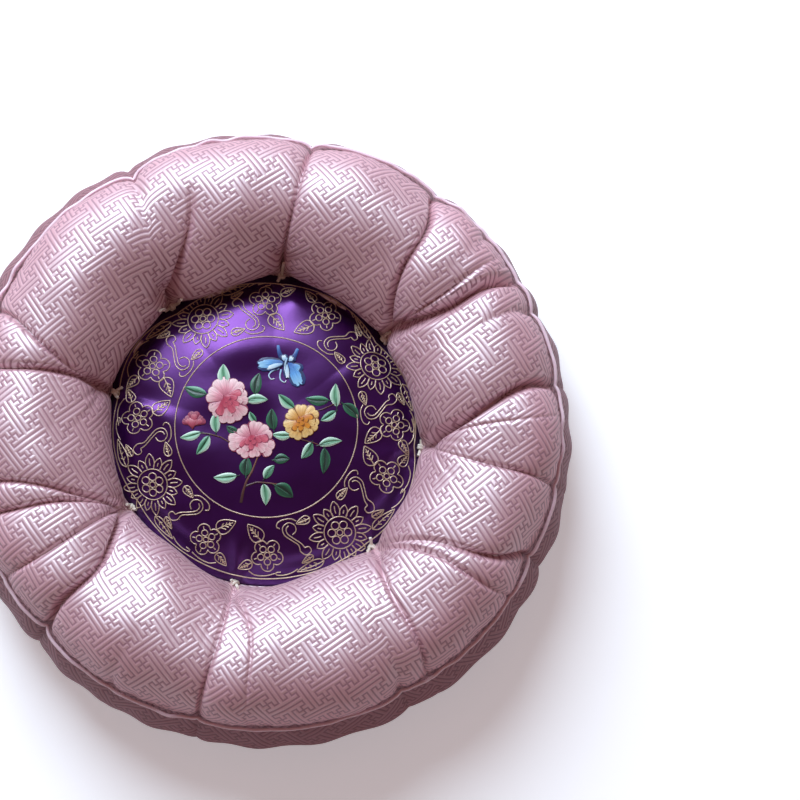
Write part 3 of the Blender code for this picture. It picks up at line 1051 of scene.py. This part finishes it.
# The twigs, as points in millimetres, and how thick each is.
TWIGS = (
    (((-22, -68), (-20, -58), (-17, -49), (-12, -40), (-6, -24)), 2.6),
    (((-19, -54), (-8, -50), (4, -51), (10, -52)), 1.7),
    (((-60, -6), (-50, -7), (-40, -10), (-30, -16), (-20, -18)), 1.6),
    (((40, 12), (50, 15), (60, 20), (66, 20)), 1.3),
    (((20, -8), (30, -12), (42, -15), (50, -18)), 1.3),
)


def twig_outline(points, thick):
    """A twig along its points, thinner towards its end."""
    line = np.array(points, float)
    shares = np.linspace(0.0, 1.0, len(line))
    steps = np.gradient(line, axis=0)

    def outline(a, s):
        x, y = (np.interp(a, shares, line[:, axis]) for axis in (0, 1))
        dx, dy = (np.interp(a, shares, steps[:, axis]) for axis in (0, 1))
        size = np.hypot(dx, dy)
        out = s * thick / 2.0 * (1.0 - 0.5 * a)
        return x - dy / size * out, y + dx / size * out

    return outline


# The butterfly's wings: root, heading, length, width, silk and layer.
WINGS = (
    (15.0, 57.5, 187.0, 24.5, 12.5, NAVY_WING, 2.0),
    (14.5, 57.5, 187.0, 23.0, 10.5, BLUE_WING, 2.3),
    (20.0, 58.0, -64.0, 25.5, 14.5, NAVY_WING, 2.0),
    (20.0, 57.5, -64.0, 24.0, 12.5, BLUE_WING, 2.3),
    (22.0, 55.0, -28.0, 11.5, 10.0, NAVY_WING, 2.2),
    (22.0, 55.0, -28.0, 10.5, 8.5, BLUE_WING, 2.5),
    (14.5, 56.0, 196.0, 16.0, 7.5, NAVY_WING, 2.7),
    (14.0, 56.0, 196.0, 15.0, 6.0, PALE_WING, 3.0),
    (17.5, 57.0, -84.0, 15.0, 7.0, NAVY_WING, 2.7),
    (17.5, 56.5, -84.0, 14.0, 5.5, PALE_WING, 3.0),
    (16.0, 57.5, 100.0, 7.5, 7.5, NAVY_WING, 2.7),
    (16.0, 58.0, 100.0, 6.5, 6.0, PALE_WING, 3.0),
    (20.0, 57.5, 50.0, 7.0, 7.0, NAVY_WING, 2.7),
    (20.0, 58.0, 50.0, 6.0, 5.5, PALE_WING, 3.0),
)
# Its horns and feelers: points, how thick each is, and its silk.
FEELERS = (
    (((13.0, 62.0), (11.0, 67.0), (10.0, 73.0)), 4.6, DEEP_WING),
    (((23.5, 61.0), (25.5, 65.0), (27.5, 70.0)), 4.6, DEEP_WING),
    (((11.0, 52.0), (5.0, 49.5), (2.0, 45.5), (4.0, 42.0), (7.0, 42.5)), 1.5, PALE_WING),
    (((13.0, 51.0), (12.0, 46.0), (12.5, 41.5), (16.0, 39.0), (17.5, 41.0)), 1.5, PALE_WING),
)
# Its body: points, how thick each is, its silk and layer.
BODY = (
    (((18.0, 62.0), (16.5, 56.0), (15.5, 48.0)), 4.4, NAVY_WING, 3.4),
    (((18.0, 61.5), (16.6, 56.0), (15.8, 49.0)), 2.6, PALE_WING, 3.8),
)
# The peonies: middle, width and height, the silks of the petals, the heart and the edges,
# the way they open and their layer.
PEONIES = (
    (-34.0, 23.0, 39.0, 40.0, PINK_PETAL, PINK_HEART, PINK_EDGE, 315.0, 2.0),
    (-12.0, -13.0, 44.0, 37.0, PINK_PETAL, PINK_HEART, PINK_EDGE, 285.0, 2.2),
    (31.0, 4.0, 31.0, 32.0, GOLD_PETAL, GOLD_HEART, GOLD_EDGE, 300.0, 2.0),
)
BUD_MIDDLE, BUD_FAN = (-64.0, 0.0), 26.0
BUD_PETALS = ((140.0, 11.0), (40.0, 11.0), (90.0, 13.0))  # heading and length


def make_leaf(patches, leaf):
    """A leaf in two halves, with a rib that runs out a little at its root."""
    root = polar(leaf.x, leaf.y, leaf.heading, -leaf.length / 2.0)
    for side, silk in ((1.0, leaf.left), (-1.0, leaf.right)):
        outline = half_leaf_outline(*root, leaf.heading, leaf.length, leaf.width, side)
        patches.add(outline, silk, 1.2, 14, 4, edged=True)
    rib = [polar(*root, leaf.heading, leaf.length * share) for share in (-0.12, 0.2, 0.5, 0.8)]
    silk = DARK_LEAF if PALE_LEAF in (leaf.left, leaf.right) else MID_LEAF
    patches.add(twig_outline(rib, 0.9), silk, 1.6, 8, 2)


def make_spray(medallion):
    """The coloured spray: twigs, leaves, peonies, a bud and a butterfly."""
    patches = SilkPatches(surface_of(medallion))
    for points, thick in TWIGS:
        patches.add(twig_outline(points, thick), BARK_SILK, 0.6, 16, 4)
    for leaf in LEAVES:
        make_leaf(patches, leaf)
    for bloom in PEONIES:
        peony(patches, *bloom)
    for heading, length in BUD_PETALS:
        under = fan_outline(*BUD_MIDDLE, heading, length + 0.8, BUD_FAN + 4.0, 2)
        patches.add(under, PINK_EDGE, 2.0, 6, 12)
        patches.add(fan_outline(*BUD_MIDDLE, heading, length, BUD_FAN, 2), ROSE_PETAL, 2.2, 8, 12)
    patches.add(fan_outline(-65.0, -3.0, 96.0, 11.0, 38.0, 2), ROSE_PETAL, 2.8, 8, 12)
    for *place, silk, layer in WINGS:
        patches.add(petal_outline(*place), silk, layer, 10, 8)
    for points, thick, silk in FEELERS:
        patches.add(twig_outline(scroll(points, 4), thick), silk, 2.0, 12, 2)
    for points, thick, silk, layer in BODY:
        patches.add(twig_outline(points, thick), silk, layer, 8, 4)
    spray = patches.joined("silk_spray")
    spray.data.materials.append(embroidery_silk())
    finished(spray)


# ---------- materials


def new_material(name):
    made = bpy.data.materials.get(name) or bpy.data.materials.new(name)
    made.use_nodes = True
    made.node_tree.nodes.clear()
    return made, made.node_tree


def add_node(tree, kind, inputs=None, **settings):
    """Adds a shader node, sets it up, and gives its inputs values or links.

    A link comes from a socket or from a node's first output in use. A hex code becomes its
    linear colour."""
    node = tree.nodes.new("ShaderNode" + kind)
    for name, value in settings.items():
        setattr(node, name, value)
    for socket, value in (inputs or {}).items():
        if isinstance(value, bpy.types.Node):
            value = next(output for output in value.outputs if output.enabled)
        if isinstance(value, bpy.types.NodeSocket):
            tree.links.new(value, node.inputs[socket])
        elif isinstance(value, str):
            node.inputs[socket].default_value = (*linear(value), 1.0)
        else:
            node.inputs[socket].default_value = value
    return node


def thread_by_thread(tree, threads, colour, dark, light):
    """A colour that goes from dark to light with the threads' unevenness."""
    shade = add_node(tree, "MapRange", {0: threads, 1: 0.3, 2: 0.7, 3: dark, 4: light})
    grey = add_node(tree, "CombineColor", {0: shade, 1: shade, 2: shade})
    return add_node(tree, "Mix", {0: 1.0, 6: colour, 7: grey}, data_type="RGBA", blend_type="MULTIPLY")


def surfaced(made, *values):
    """Gives a material its shader, from tables of its inputs."""
    inputs = {name: value for table in values for name, value in table.items()}
    shader = add_node(made.node_tree, "BsdfPrincipled", inputs)
    add_node(made.node_tree, "OutputMaterial", {0: shader})
    return made


# Where the strokes of one hook of the fret lie, in units of the fret: middle and half size.
FRET_STROKES = (
    ((0.5, 0.0, 0.0), (0.5, 0.0, 0.0)),
    ((1.0, 0.5, 0.0), (0.0, 0.5, 0.0)),
    ((1.5, 1.0, 0.0), (0.5, 0.0, 0.0)),
    ((2.0, -0.75, 0.0), (0.0, 1.75, 0.0)),
)
FRET_UNIT = 0.0046  # from one line of the fret to the next
FRET_CELL = 5.0  # from one hook to its mirror image, in units
FRET_TURN = 35.0  # degrees from the warp
FRET_AXES = (0.0, 0.0, math.radians(-FRET_TURN))
FRET_SOFT = 0.09  # how far a line's edge blurs, in units
FRET_LINE = 0.34  # a line's width in units
GLOSS_FULL, GLOSS_WORN = 0.220, 0.258  # metres from the axis: full gloss, and least


def fret(tree, cloth):
    """A key fret unrolled over the cloth: 1 on its lines and 0 between them, and how far the
    bars between the lines puff up, from 0 to 1.

    The fret's hooks stand on a square lattice and are mirrored from each to the next, so
    one hook is drawn and the cloth is folded over it."""
    placed = {"Vector": cloth, "Rotation": FRET_AXES, "Scale": (1.0 / FRET_UNIT,) * 3}
    split = add_node(tree, "SeparateXYZ", {0: add_node(tree, "Mapping", placed)})
    folded = []
    for axis in (0, 1):
        there = add_node(tree, "Math", {0: split.outputs[axis], 1: FRET_CELL / 2.0}, operation="ADD")
        back = add_node(tree, "Math", {0: there, 1: FRET_CELL}, operation="PINGPONG")
        middle = add_node(tree, "Math", {0: back, 1: FRET_CELL / 2.0}, operation="SUBTRACT")
        folded.append((middle, add_node(tree, "Math", {0: middle, 1: -1.0}, operation="MULTIPLY")))
    (x, minus_x), (y, minus_y) = folded
    nearest = None
    for across, up in ((x, y), (y, minus_x), (minus_x, minus_y), (minus_y, x)):
        point = add_node(tree, "CombineXYZ", {0: across, 1: up, 2: 0.0})
        for middle, half in FRET_STROKES:
            off = add_node(tree, "VectorMath", {0: point, 1: middle}, operation="SUBTRACT")
            size = add_node(tree, "VectorMath", {0: off}, operation="ABSOLUTE")
            over = add_node(tree, "VectorMath", {0: size, 1: half}, operation="SUBTRACT")
            parts = add_node(tree, "SeparateXYZ", {0: over}).outputs
            away = add_node(tree, "Math", {0: parts[0], 1: parts[1]}, operation="MAXIMUM")
            if nearest is not None:
                away = add_node(tree, "Math", {0: nearest, 1: away}, operation="MINIMUM")
            nearest = away
    edge = {0: nearest, 1: FRET_LINE / 2.0 - FRET_SOFT, 2: FRET_LINE / 2.0 + FRET_SOFT, 3: 1.0, 4: 0.0}
    line = add_node(tree, "MapRange", edge, interpolation_type="SMOOTHSTEP")
    puff = add_node(tree, "MapRange", {0: nearest, 1: 0.0, 2: 0.5}, interpolation_type="SMOOTHSTEP")
    return line, puff


def satin_damask(name, tones, shine):
    """Silk damask, woven as warp satin with a fret in weft satin.

    The two weaves catch the light from different sides, so the fret is dark where the
    ground shines and pale where it doesn't."""
    made, tree = new_material(name)
    ground, ground_deep, figure = ((*tone, 1.0) for tone in tones)
    cloth = add_node(tree, "UVMap", uv_map="unrolled_cloth")
    place = add_node(tree, "TexCoord").outputs["Object"]
    lines, puff = fret(tree, cloth)
    # Threads of uneven thickness run along the warp, about 1 mm apart so that they show.
    warp = add_node(tree, "Mapping", {"Vector": cloth, "Rotation": FRET_AXES, "Scale": (1000.0, 60.0, 1.0)})
    slubs = add_node(tree, "TexNoise", {"Vector": warp, "Scale": 1.0, "Detail": 2.0})
    clouds = add_node(tree, "TexNoise", {"Vector": place, "Scale": 14.0, "Detail": 3.0})
    clouded = add_node(tree, "Mix", {0: clouds, 6: ground, 7: ground_deep}, data_type="RGBA")
    figured = add_node(tree, "Mix", {0: lines, 6: clouded, 7: figure}, data_type="RGBA")
    # The cloth is brighter on the lobes' tops than in the gathers beside the seam.
    flat = add_node(tree, "VectorMath", {0: place, 1: (1.0, 1.0, 0.0)}, operation="MULTIPLY")
    reach = add_node(tree, "VectorMath", {0: flat, 1: (*AXIS[:2], 0.0)}, operation="DISTANCE")
    gloss = add_node(tree, "MapRange", {0: reach, 1: GLOSS_FULL, 2: GLOSS_WORN, 3: shine, 4: 0.35 * shine})
    weave = add_node(tree, "Mix", {0: 0.8, 2: slubs, 3: puff})
    raised = add_node(tree, "Bump", {"Height": weave, "Distance": 0.0005, "Strength": 0.8})
    turn = FRET_TURN / 360.0
    values = {
        "Base Color": thread_by_thread(tree, slubs, figured, 0.93, 1.05),
        "Roughness": add_node(tree, "MapRange", {0: lines, 3: 0.50, 4: 0.62}),
        "Specular IOR Level": 0.4,
        "Anisotropic": 0.5,
        "Anisotropic Rotation": add_node(tree, "MapRange", {0: lines, 3: turn, 4: turn + 0.25}),
        "Tangent": add_node(tree, "Tangent", direction_type="UV_MAP", uv_map="unrolled_cloth"),
        "Coat Weight": add_node(tree, "MapRange", {0: lines, 3: gloss, 4: 0.12 * shine}),
        "Coat Roughness": 0.56,
        "Coat IOR": 6.0,
        "Coat Normal": raised,
        "Sheen Weight": 0.12,
        "Sheen Roughness": 0.35,
        "Sheen Tint": "#F7E4EC",
        "Normal": raised,
    }
    return surfaced(made, values)


def grained(name, tones, scale, height):
    """Starts a cloth or thread with two mingled tones and a fine grain."""
    made, tree = new_material(name)
    place = add_node(tree, "TexCoord").outputs["Object"]
    grain = add_node(tree, "TexNoise", {"Vector": place, "Scale": scale, "Detail": 3.0})
    return made, {
        "Base Color": add_node(tree, "Mix", {0: grain, 6: tones[0], 7: tones[1]}, data_type="RGBA"),
        "Normal": add_node(tree, "Bump", {"Height": grain, "Distance": height, "Strength": 0.6}),
    }


RIM_SHADE_START, RIM_SHADE_FULL = 0.0002, 0.0014  # metres past the border: where the painted shade of the rim starts, and where it is full


def dyed_satin(settings):
    """Silk satin, piece-dyed deep violet: a smooth face with a broad violet sheen.

    Past the border its edge is near-black and rough: painted shade of the gutter under the lobes' overhang,
    together with the round's dark edge."""
    tones = (*settings.violet, 1.0), (*settings.violet_deep, 1.0)
    made, values = grained("silk_satin_dyed_violet", tones, 60.0, 0.0003)
    tree = made.node_tree
    past = add_node(tree, "Attribute", attribute_name="past_border").outputs["Fac"]
    rim_shade = add_node(tree, "MapRange", {0: past, 1: RIM_SHADE_START, 2: RIM_SHADE_FULL})
    # Painted shade: past the border the violet is mixed to near-black.
    rim = {0: rim_shade, 6: values["Base Color"], 7: "#0E0518"}
    values["Base Color"] = add_node(tree, "Mix", rim, data_type="RGBA")
    values["Roughness"] = add_node(tree, "MapRange", {0: rim_shade, 3: 0.29, 4: 0.7})
    sheen = {"IOR": 1.8, "Specular IOR Level": 0.60, "Specular Tint": "#C880EC", "Anisotropic": 0.5}
    return surfaced(made, values, sheen)


def bias_satin():
    """Silk satin cut on the bias and sewn round a cord: a soft even gloss."""
    made, values = grained("silk_satin_bias_pink", ("#FBE8EE", "#E6BFCC"), 160.0, 0.0002)
    sheen = {"Sheen Weight": 0.3, "Sheen Tint": "#F7E4EC"}
    return surfaced(made, values, sheen, {"Roughness": 0.45, "Coat Weight": 0.6, "Coat Roughness": 0.3})


def twisted_cotton():
    """Cotton twine, plied: matt, with fine hollows between the plies."""
    made, values = grained("cotton_twine_plied", ("#F4EEE2", "#D2C4AE"), 900.0, 0.0005)
    return surfaced(made, values, {"Roughness": 0.85, "Sheen Weight": 0.2})


def gilt_thread(settings):
    """Gilt thread, foil wound on a silk core: a broken metal glint along each line."""
    tones = (*settings.gilt, 1.0), (*settings.gilt_deep, 1.0)
    made, values = grained("gilt_thread_wound", tones, 900.0, 0.0004)
    return surfaced(made, values, {"Roughness": 0.40, "Metallic": 0.45, "Specular IOR Level": 0.6})


def embroidery_silk():
    """Floss silk in satin stitch: shaded colours with fine ridges along the stitches."""
    made, tree = new_material("floss_silk_satin_stitched")
    dyed = add_node(tree, "VertexColor", layer_name="silk_colour")
    stitches = add_node(tree, "UVMap", uv_map="stitches")
    place = add_node(tree, "Mapping", {"Vector": stitches, "Scale": (120.0, 1400.0, 1.0)})
    threads = add_node(tree, "TexNoise", {"Vector": place, "Scale": 1.0, "Detail": 1.0})
    values = {
        "Base Color": thread_by_thread(tree, threads, dyed, 0.78, 1.12),
        "Roughness": 0.42,
        "Specular IOR Level": 0.6,
        "Sheen Weight": 0.2,
        "Normal": add_node(tree, "Bump", {"Height": threads, "Distance": 0.0004, "Strength": 0.7}),
    }
    return surfaced(made, values)


def studio_paper():
    """Matt white studio paper, rolled smooth: it gives a soft even ground.

    A faint glow that the camera alone sees keeps its shadows pale, and lights nothing."""
    made, values = grained("studio_paper_matt", ("#FBFBFA", "#F4F4F2"), 3.0, 0.0)
    tree = made.node_tree
    seen = add_node(tree, "LightPath").outputs["Is Camera Ray"]
    glow = add_node(tree, "Math", {0: seen, 1: PAPER_GLOW}, operation="MULTIPLY")
    lit = {"Roughness": 0.9, "Emission Color": "#F6F8FF", "Emission Strength": glow}
    return surfaced(made, values, lit)


# ---------- the stage

PAPER_GLOW = 0.34  # how strongly the paper shines to the camera
COVE_FLAT, COVE_BEND = 6.5, 1.6  # how far the floor lies flat, and its bend's radius
COVE_SIDES, COVE_STEPS = 96, 12
MM_PER_STEP = 0.885  # at the height of the seam, one 800th of the view's width
VIEW_WIDTH = 800.0 * MM_PER_STEP / 1000.0
VIEW_TILT = 8.0  # degrees from straight down, towards the sitter
VIEW_DISTANCE = 3.0
VIEW_OFFSET = (0.1204, 0.0266)  # the view's middle from the cushion's axis
SENSOR_WIDTH = 36.0  # mm
KEY_PLACE, KEY_SIZE = (-1.20, 3.70, 3.40), 3.4  # the window light
KEY_TARGET_HEIGHT = 0.08


def aimed(piece, target):
    piece.rotation_euler = (Vector(target) - piece.location).to_track_quat("-Z", "Y").to_euler()


def window_light(watts):
    """A broad round light, as cool as a shaded window's."""
    data = bpy.data.lights.new("window_key", "AREA")
    data.shape = "DISK"
    data.size = KEY_SIZE
    data.energy = watts
    data.color = linear("#DCEEFF")
    lamp = linked("window_key", data)
    lamp.location = KEY_PLACE
    aimed(lamp, (AXIS[0], AXIS[1], KEY_TARGET_HEIGHT))


def paper_floor():
    """Paper that lies flat and sweeps up all round, far off."""
    turn = np.linspace(0.0, math.tau, COVE_SIDES + 1)
    profile = [(0.0, 0.0), (COVE_FLAT, 0.0)]
    for rise in np.linspace(0.0, 90.0, COVE_STEPS + 1)[1:]:
        lift = math.radians(rise)
        profile.append((COVE_FLAT + COVE_BEND * math.sin(lift), COVE_BEND * (1.0 - math.cos(lift))))
    points = [[(reach * math.cos(t), reach * math.sin(t), high) for t in turn] for reach, high in profile]
    floor = wrapped_grid("studio_floor", COVE_SIDES, len(profile) - 1)
    place_points(floor, np.array(points))
    edited(floor, merged, facing_out)
    floor.data.materials.append(studio_paper())
    bpy.ops.object.shade_smooth()


def make_stage(settings):
    """The paper, the air's even light, the window light and the camera."""
    paper_floor()
    scene = bpy.context.scene
    scene.view_settings.view_transform = "Standard"
    world = bpy.data.worlds.new("studio_air")
    world.use_nodes = True
    air = world.node_tree.nodes["Background"].inputs
    air[0].default_value = (*linear("#F6BEB5"), 1.0)
    air[1].default_value = settings.air
    scene.world = world
    window_light(settings.key)

    data = bpy.data.cameras.new("view")
    data.sensor_width = SENSOR_WIDTH
    data.lens = SENSOR_WIDTH * VIEW_DISTANCE / VIEW_WIDTH
    data.clip_end = 50.0
    camera = linked("view", data)
    tilt = math.radians(VIEW_TILT)
    upward = Vector((0.0, math.cos(tilt), math.sin(tilt)))
    back = Vector((0.0, -math.sin(tilt), math.cos(tilt)))
    middle = Vector((AXIS[0], AXIS[1], SEAM_HEIGHT)) + Vector((VIEW_OFFSET[0], 0.0, 0.0))
    target = middle + upward * VIEW_OFFSET[1]
    camera.location = target + back * VIEW_DISTANCE
    aimed(camera, target)
    scene.camera = camera


# ---------- settings and operators


def tone_setting(name, description, code):
    """A colour setting, with a hex code as its default."""
    return bpy.props.FloatVectorProperty(
        name=name, description=description, default=linear(code), size=3, subtype="COLOR"
    )


class CushionClothSettings(bpy.types.PropertyGroup):
    """Sizes and colours of the cushion's cloth."""

    columns: bpy.props.IntProperty(
        name="Columns", description="Columns of the cover's mesh round the axis", default=840, min=200
    )
    ground: tone_setting("Ground", "Pink of the satin ground", "#DC9CA8")
    ground_deep: tone_setting("Deep ground", "Deeper pink of the ground", "#D0929E")
    figure: tone_setting("Figure", "Mauve of the woven fret", "#AC7E8A")
    violet: tone_setting("Violet", "Violet of the medallion", "#2C083C")
    violet_deep: tone_setting("Deep violet", "Deeper violet of the medallion", "#1C0428")
    gilt: tone_setting("Gilt", "Gold of the couched thread", "#E8D4BC")
    gilt_deep: tone_setting("Deep gilt", "Darker gold of the couched thread", "#C8A884")


class CushionStageSettings(bpy.types.PropertyGroup):
    """Light of the studio."""

    key: bpy.props.FloatProperty(
        name="Key", description="Power of the window light", default=402.0, min=0.0, unit="POWER"
    )
    air: bpy.props.FloatProperty(
        name="Air", description="Strength of the light all round", default=0.226, min=0.0
    )


class CUSHION_OT_cover(bpy.types.Operator):
    """Make the tufted damask cover"""

    bl_idname = "cushion.cover"
    bl_label = "Cover"

    def execute(self, context):
        make_cover(context.scene.cushion_cloth)
        return {"FINISHED"}


class CUSHION_OT_medallion(bpy.types.Operator):
    """Make the satin medallion inside the ring of lobes"""

    bl_idname = "cushion.medallion"
    bl_label = "Medallion"

    def execute(self, context):
        make_medallion(context.scene.cushion_cloth)
        return {"FINISHED"}


class CUSHION_OT_welt(bpy.types.Operator):
    """Make the cord sewn into the top seam"""

    bl_idname = "cushion.welt"
    bl_label = "Welt"

    def execute(self, context):
        make_welt()
        return {"FINISHED"}


class CUSHION_OT_ties(bpy.types.Operator):
    """Make the cotton ties round the medallion"""

    bl_idname = "cushion.ties"
    bl_label = "Ties"

    def execute(self, context):
        make_ties(bpy.data.objects["cushion_cover"], bpy.data.objects["medallion_cloth"])
        return {"FINISHED"}


class CUSHION_OT_gold(bpy.types.Operator):
    """Couch the gold thread on the medallion"""

    bl_idname = "cushion.gold"
    bl_label = "Gold thread"

    def execute(self, context):
        make_gold(context.scene.cushion_cloth, bpy.data.objects["medallion_cloth"])
        return {"FINISHED"}


class CUSHION_OT_spray(bpy.types.Operator):
    """Stitch the spray of flowers and leaves"""

    bl_idname = "cushion.spray"
    bl_label = "Silk spray"

    def execute(self, context):
        make_spray(bpy.data.objects["medallion_cloth"])
        return {"FINISHED"}


class CUSHION_OT_stage(bpy.types.Operator):
    """Set up the floor, the lights and the camera"""

    bl_idname = "cushion.stage"
    bl_label = "Stage"

    def execute(self, context):
        make_stage(context.scene.cushion_stage)
        return {"FINISHED"}


STEPS = (
    CUSHION_OT_cover,
    CUSHION_OT_medallion,
    CUSHION_OT_welt,
    CUSHION_OT_ties,
    CUSHION_OT_gold,
    CUSHION_OT_spray,
    CUSHION_OT_stage,
)


class CUSHION_PT_panel(bpy.types.Panel):
    """Lists the cushion's steps and settings"""

    bl_label = "Cushion"
    bl_idname = "CUSHION_PT_panel"
    bl_space_type = "VIEW_3D"
    bl_region_type = "UI"
    bl_category = "Cushion"

    def draw(self, context):
        for group in (context.scene.cushion_cloth, context.scene.cushion_stage):
            for name in group.__annotations__:
                self.layout.prop(group, name)
        for step in STEPS:
            self.layout.operator(step.bl_idname)


CLASSES = (CushionClothSettings, CushionStageSettings, *STEPS, CUSHION_PT_panel)


def register():
    for cls in CLASSES:
        bpy.utils.register_class(cls)
    bpy.types.Scene.cushion_cloth = bpy.props.PointerProperty(type=CushionClothSettings)
    bpy.types.Scene.cushion_stage = bpy.props.PointerProperty(type=CushionStageSettings)


def unregister():
    del bpy.types.Scene.cushion_cloth, bpy.types.Scene.cushion_stage
    for cls in reversed(CLASSES):
        bpy.utils.unregister_class(cls)


def main():
    register()
    for step in STEPS:
        group, name = step.bl_idname.split(".")
        getattr(getattr(bpy.ops, group), name)()


if __name__ == "__main__":
    main()
